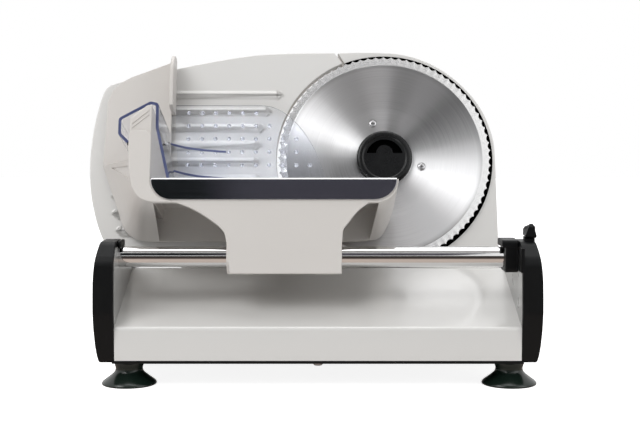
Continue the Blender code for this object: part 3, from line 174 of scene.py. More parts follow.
def offset(points: Sequence[Point], distance: float) -> list[Point]:
    """An anticlockwise outline moved inwards.

    Args:
        points: The outline's points in order.
        distance: How far each edge moves.

    Returns:
        The smaller outline, with as many points.
    """
    made: list[Point] = []
    count = len(points)
    for i in range(count):
        here = Vector(points[i])
        before = (here - Vector(points[i - 1])).normalized()
        after = (Vector(points[(i + 1) % count]) - here).normalized()
        left = Vector((-before.y, before.x)) + Vector((-after.y, after.x))
        moved = here + left.normalized() * (distance / max(left.length / 2, LEAST_MITRE))
        made.append((moved.x, moved.y))
    return made


class Boolean(Enum):
    """What one solid does to another."""

    CUT = "DIFFERENCE"
    ADD = "UNION"
    KEEP = "INTERSECT"


class Bench:
    """Modelling moves made with Blender's operators, on one piece at a time. Lengths are millimetres."""

    @staticmethod
    def rest() -> None:
        """Goes back to object mode with nothing selected."""
        active = bpy.context.view_layer.objects.active
        if active is not None and active.mode != "OBJECT":
            bpy.ops.object.mode_set(mode="OBJECT")
        bpy.ops.object.select_all(action="DESELECT")

    @staticmethod
    def take(*pieces: Piece) -> None:
        """Selects some pieces alone and makes the first one active.

        Args:
            pieces: The pieces.
        """
        Bench.rest()
        for piece in pieces:
            piece.select_set(True)
        bpy.context.view_layer.objects.active = pieces[0]

    @staticmethod
    def edit(piece: Piece, action: str = "DESELECT") -> None:
        """Opens edit mode on one piece.

        Args:
            piece: The piece.
            action: What is done with the selection of its vertices.
        """
        Bench.take(piece)
        bpy.ops.object.mode_set(mode="EDIT")
        bpy.ops.mesh.select_mode(type="VERT")
        bpy.ops.mesh.select_all(action=action)

    @staticmethod
    def pick(piece: Piece, wanted: Callable[[Vector], bool]) -> int:
        """Selects in edit mode the vertices whose place passes a test.

        Args:
            piece: The piece in edit mode.
            wanted: The test on a vertex's place in millimetres.

        Returns:
            How many vertices are now selected.
        """
        bm = bmesh.from_edit_mesh(piece.data)
        for vertex in bm.verts:
            vertex.select = wanted(vertex.co / MM)
        found = sum(vertex.select for vertex in bm.verts)
        bm.select_flush_mode()
        bm.select_flush(True)
        bmesh.update_edit_mesh(piece.data)
        return found

    @staticmethod
    def chain(name: str, places: Sequence[Sequence[float]]) -> Piece:
        """Draws a chain of edges by extruding one vertex from place to place, and stays in edit mode.

        Args:
            name: The new piece's name.
            places: The places in order, each with three numbers.

        Returns:
            The new piece, in edit mode, with its last vertex selected.
        """
        Bench.rest()
        bpy.ops.mesh.primitive_plane_add(size=MM)
        piece = bpy.context.object
        piece.name = name
        piece.data.name = name
        Bench.edit(piece, "SELECT")
        bpy.ops.mesh.merge(type="CENTER")
        spots = [Vector(place) * MM for place in places]
        bpy.ops.transform.translate(value=spots[0])
        for before, after in zip(spots, spots[1:]):
            bpy.ops.mesh.extrude_vertices_move(TRANSFORM_OT_translate={"value": after - before})
        return piece

    @staticmethod
    def close(piece: Piece) -> Piece:
        """Merges doubles and turns every face outwards, then leaves edit mode.

        Args:
            piece: The piece in edit mode.

        Returns:
            The piece.
        """
        bpy.ops.mesh.select_all(action="SELECT")
        bpy.ops.mesh.remove_doubles(threshold=WELD)
        bpy.ops.mesh.normals_make_consistent(inside=False)
        bpy.ops.object.mode_set(mode="OBJECT")
        piece.select_set(False)
        return piece

    @staticmethod
    def slab(name: str, outline: Sequence[Point], low: float, high: float) -> Piece:
        """A closed outline, filled and extruded along z.

        Args:
            name: The new piece's name.
            outline: The outline's points in order.
            low: The height of its bottom.
            high: The height of its top.

        Returns:
            The solid.
        """
        piece = Bench.chain(name, [(x, y, low) for x, y in outline])
        bpy.ops.mesh.select_all(action="SELECT")
        bpy.ops.mesh.edge_face_add()
        bpy.ops.mesh.select_all(action="SELECT")
        rise = {"value": (0, 0, (high - low) * MM)}
        bpy.ops.mesh.extrude_region_move(TRANSFORM_OT_translate=rise)
        return Bench.close(piece)

    @staticmethod
    def block(name: str, low: Sequence[float], high: Sequence[float]) -> Piece:
        """A box between two corners, drawn as an outline and extruded."""
        outline = [(low[0], low[1]), (high[0], low[1]), (high[0], high[1]), (low[0], high[1])]
        return Bench.slab(name, outline, low[2], high[2])

    @staticmethod
    def loft(name: str, first: Sequence[Point], second: Sequence[Point], low: float, high: float) -> Piece:
        """A solid between two outlines with paired points.

        Args:
            name: The new piece's name.
            first: The outline at the bottom.
            second: The outline at the top, with as many points.
            low: The height of its bottom.
            high: The height of its top.

        Returns:
            The solid.
        """
        piece = Bench.slab(name, first, low, high)
        Bench.edit(piece)
        moves = {}
        bm = bmesh.from_edit_mesh(piece.data)
        for vertex in bm.verts:
            if abs(vertex.co.z / MM - high) < LEVEL:
                near = min(range(len(first)), key=lambda k: (Vector(first[k]) * MM - vertex.co.xy).length)
                moves[vertex.index] = Vector(second[near]) * MM - vertex.co.xy
        for index, move in moves.items():
            bm = bmesh.from_edit_mesh(piece.data)
            for vertex in bm.verts:
                vertex.select = vertex.index == index
            bm.select_flush_mode()
            bmesh.update_edit_mesh(piece.data)
            bpy.ops.transform.translate(value=(*move, 0))
        bpy.ops.mesh.select_all(action="SELECT")
        bpy.ops.mesh.quads_convert_to_tris(quad_method="SHORTEST_DIAGONAL")
        return Bench.close(piece)

    @staticmethod
    def turned(name: str, profile: Sequence[Point], steps: int = 96) -> Piece:
        """A profile of (radius, height) spun about z.

        Args:
            name: The new piece's name.
            profile: The points in order. Points on the axis become poles, and a profile that starts
                off the axis is closed on itself.
            steps: How many faces go round.

        Returns:
            The spun solid.
        """
        line = [(r, 0.0, z) for r, z in profile]
        if profile[0][0] > 0:
            line.append(line[0])
        piece = Bench.chain(name, line)
        bpy.ops.mesh.select_all(action="SELECT")
        bpy.ops.mesh.spin(steps=steps, angle=2 * math.pi, center=(0, 0, 0), axis=(0, 0, 1))
        return Bench.close(piece)

    @staticmethod
    def rod(radius: float, low: float, high: float, at: Point = (0.0, 0.0), steps: int = 48) -> Piece:
        """A round cutter along z.

        Args:
            radius: Its radius.
            low: The height of its bottom.
            high: The height of its top.
            at: Where its axis stands.
            steps: How many faces go round.

        Returns:
            The cylinder.
        """
        Bench.rest()
        middle = Vector((*at, (low + high) / 2)) * MM
        bpy.ops.mesh.primitive_cylinder_add(
            vertices=steps, radius=radius * MM, depth=(high - low) * MM, location=middle
        )
        piece = bpy.context.object
        bpy.ops.object.transform_apply(location=True, rotation=True, scale=True)
        piece.select_set(False)
        return piece

    @staticmethod
    def apply(piece: Piece, kind: str, **settings: object) -> Piece:
        """Adds a modifier and applies it.

        Args:
            piece: The piece.
            kind: The modifier's type.
            settings: The modifier's own properties.

        Returns:
            The piece.
        """
        modifier = piece.modifiers.new(kind.lower(), kind)
        for key, value in settings.items():
            setattr(modifier, key, value)
        Bench.take(piece)
        bpy.ops.object.modifier_apply(modifier=modifier.name)
        piece.select_set(False)
        return piece

    @staticmethod
    def combine(piece: Piece, how: Boolean, *others: Piece) -> Piece:
        """Applies one exact Boolean after another with other solids, which are then removed.

        Args:
            piece: The piece that stays.
            how: What the others do to it.
            others: The other solids.

        Returns:
            The piece.
        """
        for other in others:
            Bench.apply(piece, "BOOLEAN", operation=how.value, solver="EXACT", object=other)
            bpy.data.objects.remove(other)
            Bench.edit(piece, "SELECT")
            bpy.ops.mesh.remove_doubles(threshold=2 * WELD)
            bpy.ops.mesh.dissolve_degenerate(threshold=2 * WELD)
            bpy.ops.object.mode_set(mode="OBJECT")
        return piece

    @staticmethod
    def cut(piece: Piece, *others: Piece) -> Piece:
        """Cuts other solids out."""
        return Bench.combine(piece, Boolean.CUT, *others)

    @staticmethod
    def add(piece: Piece, *others: Piece) -> Piece:
        """Joins other solids on as one."""
        return Bench.combine(piece, Boolean.ADD, *others)

    @staticmethod
    def keep(piece: Piece, *others: Piece) -> Piece:
        """Keeps what the solids share."""
        return Bench.combine(piece, Boolean.KEEP, *others)

    @staticmethod
    def join(pieces: Sequence[Piece]) -> Piece:
        """Joins separate solids into one piece without a Boolean.

        Args:
            pieces: The solids.

        Returns:
            The first of them, which now holds them all.
        """
        Bench.take(*pieces)
        bpy.ops.object.join()
        return pieces[0]

    @staticmethod
    def copy(piece: Piece, name: str) -> Piece:
        """A copy with its own mesh.

        Args:
            piece: The piece.
            name: The copy's name.

        Returns:
            The copy.
        """
        Bench.take(piece)
        bpy.ops.object.duplicate(linked=False)
        made = bpy.context.object
        made.name = name
        made.data.name = name
        made.select_set(False)
        return made

    @staticmethod
    def soften(piece: Piece, width: float, segments: int = 3, degrees: float = 32.0) -> Piece:
        """Rounds every edge that is sharper than an angle."""
        sharp = {"limit_method": "ANGLE", "angle_limit": math.radians(degrees), "miter_outer": "MITER_ARC"}
        return Bench.apply(piece, "BEVEL", width=width * MM, segments=segments, **sharp)

    @staticmethod
    def move(piece: Piece, frame: Matrix) -> Piece:
        """Puts a mesh in a frame and leaves its object at the origin.

        Args:
            piece: The piece.
            frame: The frame it was modelled in.

        Returns:
            The piece.
        """
        piece.matrix_world = frame
        Bench.take(piece)
        bpy.ops.object.transform_apply(location=True, rotation=True, scale=True)
        piece.select_set(False)
        return piece

    @staticmethod
    def polish(piece: Piece, degrees: float) -> Piece:
        """Shades round faces smooth and keeps flat faces flat.

        Args:
            piece: The piece.
            degrees: The angle below which edges look round.

        Returns:
            The piece.
        """
        Bench.take(piece)
        bpy.ops.object.shade_smooth_by_angle(angle=math.radians(degrees))
        return Bench.apply(piece, "WEIGHTED_NORMAL", keep_sharp=True)


SIDE_AXES = Matrix(((0, 0, 1, 0), (1, 0, 0, 0), (0, 1, 0, 0), (0, 0, 0, 1)))
PLAN_AXES = Matrix(((0, 1, 0, 0), (0, 0, 1, 0), (1, 0, 0, 0), (0, 0, 0, 1)))


@dataclass(frozen=True)
class Layout:
    """Where the machine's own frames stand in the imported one."""

    origin: Vector

    @classmethod
    def from_rail(cls) -> "Layout":
        """Reads the place of the machine's origin from the rail."""
        low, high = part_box("rail_tube")
        return cls((low + high) / 2 - Vector((0, RAIL_Y, RAIL_Z)) * MM)

    def world(self, x: float = 0.0, y: float = 0.0, z: float = 0.0) -> Matrix:
        """An upright frame at a point in millimetres."""
        return Matrix.Translation(self.origin + Vector((x, y, z)) * MM)

    def side(self, x: float = 0.0, y: float = 0.0, z: float = 0.0) -> Matrix:
        """A frame for profiles seen from the side: x is depth, y is height, z runs to the right."""
        return self.world(x, y, z) @ SIDE_AXES

    def front(self) -> Matrix:
        """A frame for profiles seen from the front: x runs right, y is height, z runs to the user."""
        return self.world() @ Matrix.Rotation(math.pi / 2, 4, "X")

    def rear(self, x: float, y: float, z: float) -> Matrix:
        """A frame whose z runs out of the back."""
        return self.world(x, y, z) @ Matrix.Rotation(-math.pi / 2, 4, "X")

    def lean(self, u: float = 0.0, v: float = 0.0) -> Matrix:
        """The lean frame at one of its own points."""
        turn = Matrix.Rotation(math.pi / 2 - LEAN, 4, "X")
        return self.world(*BLADE_CENTRE) @ turn @ Matrix.Translation(Vector((u, v, 0)) * MM)


class Nodes:
    """A node tree, with short calls for the nodes that the finishes and the studio use."""

    def __init__(self, tree: bpy.types.NodeTree) -> None:
        """Takes the tree to build in."""
        self.tree = tree

    def feed(self, target: Socket, value: object) -> None:
        """Gives an input a value, or links it from a socket.

        Args:
            target: The input.
            value: The value or the socket.
        """
        if isinstance(value, Socket):
            self.tree.links.new(value, target)
        else:
            target.default_value = value

    def node(
        self, kind: str, inputs: dict[str | int, object] | None = None, **settings: object
    ) -> bpy.types.Node:
        """Adds a node.

        Args:
            kind: The node's type.
            inputs: What each input gets, a value or a socket.
            settings: The node's own properties.

        Returns:
            The node.
        """
        made = self.tree.nodes.new(kind)
        for key, value in settings.items():
            setattr(made, key, value)
        for key, value in (inputs or {}).items():
            self.feed(made.inputs[key], value)
        return made

    def maths(self, how: str, first: Socket, second: Socket | float = 0.0) -> Socket:
        """One sum on one or two values."""
        return self.node("ShaderNodeMath", {0: first, 1: second}, operation=how).outputs["Value"]

    def spread(self, value: Socket, low: float, high: float, start: float = 0.3, stop: float = 0.7) -> Socket:
        """A value mapped from its usual range to another."""
        span = {"Value": value, "From Min": start, "From Max": stop, "To Min": low, "To Max": high}
        return self.node("ShaderNodeMapRange", span).outputs["Result"]

    def tint(self, value: Socket, first: Colour, second: Colour | Socket) -> Socket:
        """A colour between two by a value."""
        far = second if isinstance(second, Socket) else (*second, 1.0)
        return self.node("ShaderNodeMix", {0: value, 6: (*first, 1.0), 7: far}, data_type="RGBA").outputs[2]

    def axes(self, place: Socket) -> bpy.types.NodeOutputs:
        """The separate coordinates of a place."""
        return self.node("ShaderNodeSeparateXYZ", {0: place}).outputs


class Graph(Nodes):
    """A material's nodes."""

    def __init__(self, name: str, colour: Colour, metallic: float, roughness: float) -> None:
        """Makes the material with its plain values on the shader's own sockets.

        Args:
            name: The material's name.
            colour: Its base colour.
            metallic: Its share of metal.
            roughness: Its roughness.
        """
        self.material = bpy.data.materials.new(name)
        self.material.use_nodes = True
        self.material.diffuse_color = (*colour, 1.0)
        super().__init__(self.material.node_tree)
        self.shader = self.tree.nodes["Principled BSDF"]
        self.give({"Base Color": (*colour, 1.0), "Metallic": metallic, "Roughness": roughness})
        self.place = self.node("ShaderNodeTexCoord").outputs["Object"]

    def give(self, inputs: dict[str, object]) -> None:
        """Sets or links inputs of the shader."""
        for key, value in inputs.items():
            self.feed(self.shader.inputs[key], value)

    def stretch(self, scale: Sequence[float]) -> Socket:
        """The piece's own coordinates, stretched."""
        return self.node("ShaderNodeMapping", {"Scale": scale, "Vector": self.place}).outputs["Vector"]

    def noise(self, scale: float, detail: float = 2.0, place: Socket | None = None) -> Socket:
        """A noise over the piece's own coordinates or over the given ones."""
        inputs = {"Scale": scale, "Detail": detail, "Vector": place or self.place}
        return self.node("ShaderNodeTexNoise", inputs).outputs["Fac"]

    def colour(self, value: Socket, base: Colour, swing: float) -> None:
        """Varies the base colour a little, darker and lighter.

        Args:
            value: What varies it.
            base: The colour.
            swing: The share by which it varies.
        """
        dark = tuple(c * (1 - swing) for c in base)
        light = tuple(min(c * (1 + swing), 1.0) for c in base)
        self.give({"Base Color": self.tint(value, dark, light)})

    def rough(self, value: Socket, base: float, swing: float) -> None:
        """Varies the roughness by a value."""
        self.give({"Roughness": self.spread(value, base - swing, base + swing)})

    def bump(self, height: Socket, depth: float) -> None:
        """Bumps the surface by a height whose full depth is in millimetres."""
        made = self.node("ShaderNodeBump", {"Distance": depth * MM, "Strength": 1.0, "Height": height})
        self.give({"Normal": made.outputs["Normal"]})


@dataclass(frozen=True)
class Finish:
    """What every finish has: its name, the record's slot, a colour, a roughness and a metal share."""

    name: str
    slot: str
    base: Colour
    roughness: float
    metallic: float = 0.0

    def material(self) -> bpy.types.Material:
        """The finish's material, made once.

        Returns:
            The material.
        """
        found = bpy.data.materials.get(self.name)
        if found is None:
            graph = Graph(self.name, self.base, self.metallic, self.roughness)
            self.paint(graph)
            found = graph.material
        return found

    def paint(self, graph: Graph) -> None:
        """Adds the finish's own detail to its graph."""


@dataclass(frozen=True)
class Paint(Finish):
    """Stove-enamelled metal with a faint orange peel."""

    peel: float = 1.6
    depth: float = 0.006
    lacquer: float = 0.25

    def paint(self, graph: Graph) -> None:
        """Adds slow shade drift, uneven gloss and the peel.

        Args:
            graph: The material's nodes.
        """
        graph.colour(graph.noise(14.0, 2.0), self.base, 0.012)
        graph.rough(graph.noise(60.0, 2.0), self.roughness, 0.03)
        graph.give({"Coat Weight": self.lacquer, "Coat Roughness": 0.12})
        graph.bump(graph.noise(1000.0 / self.peel, 1.0), self.depth)


@dataclass(frozen=True)
class Moulded(Finish):
    """Moulded plastic with the fine grain of a spark-eroded mould."""

    grain: float = 0.7
    depth: float = 0.012
    swing: float = 0.02
    shine: float = 0.5

    def paint(self, graph: Graph) -> None:
        """Adds slow shade drift, uneven gloss and the grain.

        Args:
            graph: The material's nodes.
        """
        graph.colour(graph.noise(22.0, 3.0), self.base, self.swing)
        graph.rough(graph.noise(110.0, 3.0), self.roughness, 0.035)
        graph.give({"Specular IOR Level": self.shine})
        cells = {"Scale": 1000.0 / self.grain, "Vector": graph.place}
        grains = graph.node("ShaderNodeTexVoronoi", cells, feature="SMOOTH_F1").outputs["Distance"]
        graph.bump(graph.maths("ADD", grains, graph.noise(700.0 / self.grain, 2.0)), self.depth)


@dataclass(frozen=True)
class Brushed(Finish):
    """Metal with straight brush marks that run along x."""

    metallic: float = 1.0
    marks: tuple[float, float, float] = (6.0, 900.0, 900.0)
    grip: float = 0.6

    def paint(self, graph: Graph) -> None:
        """Adds long thin marks to the colour, the gloss and the surface.

        Args:
            graph: The material's nodes.
        """
        streak = graph.noise(1.0, 4.0, graph.stretch(self.marks))
        graph.colour(streak, self.base, 0.06)
        graph.rough(streak, self.roughness, 0.07)
        graph.give({"Anisotropic": self.grip})
        graph.bump(streak, 0.003)


@dataclass(frozen=True)
class Polished(Finish):
    """Bright metal with faint rubbing marks."""

    metallic: float = 1.0
    hairs: tuple[float, float, float] = (25.0, 1500.0, 1500.0)
    haze: float = 0.03

    def paint(self, graph: Graph) -> None:
        """Adds faint cloudy haze and hairlines along the piece."""
        graph.colour(graph.noise(30.0, 3.0), self.base, 0.03)
        graph.rough(graph.noise(1.0, 3.0, graph.stretch(self.hairs)), self.roughness, self.haze)


@dataclass(frozen=True)
class RoundBrushed(Finish):
    """Steel brushed in rings round an axis, which throws its light out in sectors; sectors of painted
    highlight and painted shade are also set in its colour, with painted shade towards the rim.
    """

    metallic: float = 1.0
    painted_shade_share: float = 0.28
    centre: Matrix = field(default_factory=Matrix)
    grip: float = 0.96
    ring_scale: float = 2400.0
    ring_drift: float = 0.0004
    ring_swing: float = 0.07
    ring_depth: float = 0.0006
    rim: Point = (0.083, 0.0872)
    painted_rim_shade: float = 0.6
    # Levels of painted highlight and painted shade round the axis, as (share of a turn, level) pairs.
    painted_fans: tuple[Point, ...] = (
        (0.0, 0.08), (0.04, 0.05), (0.10, 0.26), (0.20, 0.66), (0.27, 0.82), (0.34, 1.0), (0.41, 1.0),
        (0.47, 0.70), (0.52, 0.50), (0.60, 0.12), (0.66, 0.52), (0.71, 0.30), (0.76, 0.78), (0.82, 0.50),
        (0.87, 0.74), (0.91, 1.0), (0.94, 0.80), (0.97, 0.32), (1.0, 0.08),
    )

    def painted_fan(self, graph: Graph, turn: Socket) -> Socket:
        """The level of painted light round the axis: painted highlight and painted shade in sectors.

        Args:
            graph: The material's nodes.
            turn: The angle round the axis.

        Returns:
            The socket that carries the level.
        """
        ramp = graph.node("ShaderNodeFloatCurve", {"Value": graph.spread(turn, 0.0, 1.0, -math.pi, math.pi)})
        curve = ramp.mapping.curves[0]
        curve.points[0].location = self.painted_fans[0]
        curve.points[1].location = self.painted_fans[-1]
        for at, level in self.painted_fans[1:-1]:
            curve.points.new(at, level)
        ramp.mapping.update()
        return ramp.outputs["Value"]

    def outwards(self, graph: Graph) -> Socket:
        """The way out from the axis, as the shader's tangent.

        Args:
            graph: The material's nodes.

        Returns:
            The socket that carries the direction.
        """
        sides = {0: graph.place, 1: self.centre.translation}
        flat = graph.node("ShaderNodeVectorMath", sides, operation="SUBTRACT").outputs["Vector"]
        spaces = {"vector_type": "VECTOR", "convert_from": "OBJECT", "convert_to": "WORLD"}
        world = graph.node("ShaderNodeVectorTransform", {"Vector": flat}, **spaces).outputs["Vector"]
        return graph.node("ShaderNodeVectorMath", {0: world}, operation="NORMALIZE").outputs["Vector"]

    def paint(self, graph: Graph) -> None:
        """Adds ring marks, sectors of painted highlight and painted shade, painted shade towards the rim, and
        the radial tangent.

        Args:
            graph: The material's nodes.
        """
        back = self.centre.inverted()
        local = {"Rotation": back.to_euler(), "Location": back.translation, "Vector": graph.place}
        split = graph.axes(graph.node("ShaderNodeMapping", local).outputs["Vector"])
        x, y = split["X"], split["Y"]
        square = graph.maths("ADD", graph.maths("MULTIPLY", x, x), graph.maths("MULTIPLY", y, y))
        radius, turn = graph.maths("SQRT", square), graph.maths("ARCTAN2", y, x)
        rings = {"X": radius, "Y": graph.maths("MULTIPLY", turn, self.ring_drift)}
        place = graph.node("ShaderNodeCombineXYZ", rings).outputs["Vector"]
        marks = graph.noise(self.ring_scale, 3.0, place)
        swing = graph.spread(marks, -self.ring_swing, self.ring_swing)
        # Ring marks plus the painted light level round the axis.
        shade = graph.maths("ADD", swing, self.painted_fan(graph, turn))
        # Painted shade towards the rim.
        shade = graph.maths("MULTIPLY", shade, graph.spread(radius, 1.0, self.painted_rim_shade, *self.rim))
        dark = tuple(c * self.painted_shade_share for c in self.base)
        graph.give({"Base Color": graph.tint(shade, dark, self.base), "Anisotropic": self.grip})
        graph.give({"Tangent": self.outwards(graph)})
        graph.rough(marks, self.roughness, 0.05)
        graph.bump(marks, self.ring_depth)


@dataclass(frozen=True)
class Clear(Finish):
    """Clear moulded plastic that lets the lamps through, cloudy or not."""

    bend: float = 1.18
    through: Colour = (0.94, 0.96, 1.0)
    cloud: float = 0.0

    def paint(self, graph: Graph) -> None:
        """Adds faint flow marks, and lets lamp light pass.

        Args:
            graph: The material's nodes.
        """
        graph.give({"Transmission Weight": 1.0 - self.cloud, "IOR": self.bend})
        graph.rough(graph.noise(120.0, 2.0), self.roughness, 0.012)
        graph.bump(graph.noise(90.0, 2.0), 0.01)
        passing = graph.node("ShaderNodeBsdfTransparent", {"Color": (*self.through, 1.0)}).outputs["BSDF"]
        shadow = graph.node("ShaderNodeLightPath").outputs["Is Shadow Ray"]
        parts = {"Fac": shadow, 1: graph.shader.outputs["BSDF"], 2: passing}
        mixed = graph.node("ShaderNodeMixShader", parts)
        graph.feed(graph.tree.nodes["Material Output"].inputs["Surface"], mixed.outputs["Shader"])


GREY = "light_grey_paint"
BLACK = "black_plastic"
STEEL = "brushed_stainless"
LIGHT_GREY_PAINT = Paint("light_grey_enamel", GREY, (0.76, 0.75, 0.73), 0.34)
DECK_PAINT = Paint("light_grey_deck_enamel", GREY, (0.75, 0.74, 0.72), 0.24, lacquer=1.0)
# A darker copy of the deck enamel for the end walls' inner faces: painted shade and painted reflection, not a
# second paint.
WALL_PAINTED_SHADE = Paint("wall_enamel_painted_shade", GREY, (0.34, 0.34, 0.33), 0.3)
WARM_PLASTIC = Moulded("warm_grey_moulding", "warm_grey_plastic", (0.66, 0.63, 0.60), 0.40)
BLACK_PLASTIC = Moulded(
    "black_moulding", BLACK, (0.0045, 0.005, 0.0055), 0.42, grain=0.8, swing=0.08, shine=0.2
)
KNOB_PLASTIC = Moulded(
    "black_satin_moulding", BLACK, (0.006, 0.0065, 0.007), 0.28, grain=0.5, swing=0.08, shine=0.3
)
# Near-black painted shade, put on faces that lie in shadow: a recess floor, a shell's inside and the wall of
# a gap.
PAINTED_SHADE_BLACK = Moulded("painted_shade_black", BLACK, (0.0012, 0.0012, 0.0012), 0.8, grain=0.8, swing=0.0, shine=0.0)
RUBBER = Moulded(
    "dark_rubber_glossy", "dark_rubber", (0.008, 0.016, 0.012), 0.22, grain=1.4, depth=0.006, swing=0.1
)
NYLON = Moulded("milky_nylon", "white_nylon", (0.82, 0.80, 0.74), 0.46, grain=1.2, swing=0.03)
TRAY_STEEL = Brushed("tray_brushed_steel", STEEL, (0.66, 0.66, 0.67), 0.22)
SCREW_ZINC = Brushed("zinc_plate", "zinc_plated_steel", (0.56, 0.56, 0.57), 0.34)
BAND_STEEL = Polished("tray_polished_steel", STEEL, (0.50, 0.52, 0.57), 0.08)
GROUND_EDGE = Polished("blade_ground_edge", STEEL, (0.92, 0.92, 0.92), 0.24, 0.75)
CHROME = Polished("polished_chrome", "chrome", (0.78, 0.78, 0.78), 0.07)
CLEAR = Clear("clear_moulding", "clear_plastic", (0.965, 0.975, 1.0), 0.05)
CLEAR_EDGE = Clear(
    "clear_moulding_edge", "clear_plastic", (0.11, 0.13, 0.27), 0.3,
    bend=1.1, through=(0.5, 0.6, 0.95), cloud=0.7,
)
SPIKE_PLASTIC = Clear(
    "clear_moulding_frosted", "clear_plastic", (0.93, 0.94, 0.98), 0.12, bend=1.5, cloud=0.2
)


@dataclass
class Assembly:
    """What every sub-assembly has: the layout and a way to finish its pieces."""

    layout: Layout

    def settle(
        self, obj: Piece, frame: Matrix, finish: Finish, body: str, *nodes: str, smooth: float = 36.0
    ) -> Piece:
        """Puts a piece in place, dresses it and ties it to its body.

        Args:
            obj: The piece, modelled in its own frame.
            frame: That frame.
            finish: What it is made of.
            body: The body it moves with.
            nodes: The solids it stands for.
            smooth: The angle in degrees below which edges look round.

        Returns:
            The finished piece.
        """
        Bench.move(obj, frame)
        Bench.polish(obj, smooth)
        obj.data.materials.clear()
        obj.data.materials.append(finish.material())
        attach(obj, body)
        if nodes:
            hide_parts(*nodes)
        log.info("%s on %s: %d faces", obj.name, body, len(obj.data.polygons))
        return obj

    def repaint(self, piece: Piece, finish: Finish, frame: Matrix, wanted: FaceTest) -> None:
        """Gives some faces of a finished piece a second finish.

        Args:
            piece: The finished piece.
            finish: The finish of those faces.
            frame: The frame that the test works in.
            wanted: Tells from a face's middle in millimetres and its normal if it is one of them.
        """
        piece.data.materials.append(finish.material())
        back = frame.inverted()
        turn = back.to_3x3()
        for face in piece.data.polygons:
            if wanted(back @ face.center / MM, (turn @ face.normal).normalized()):
                face.material_index = 1


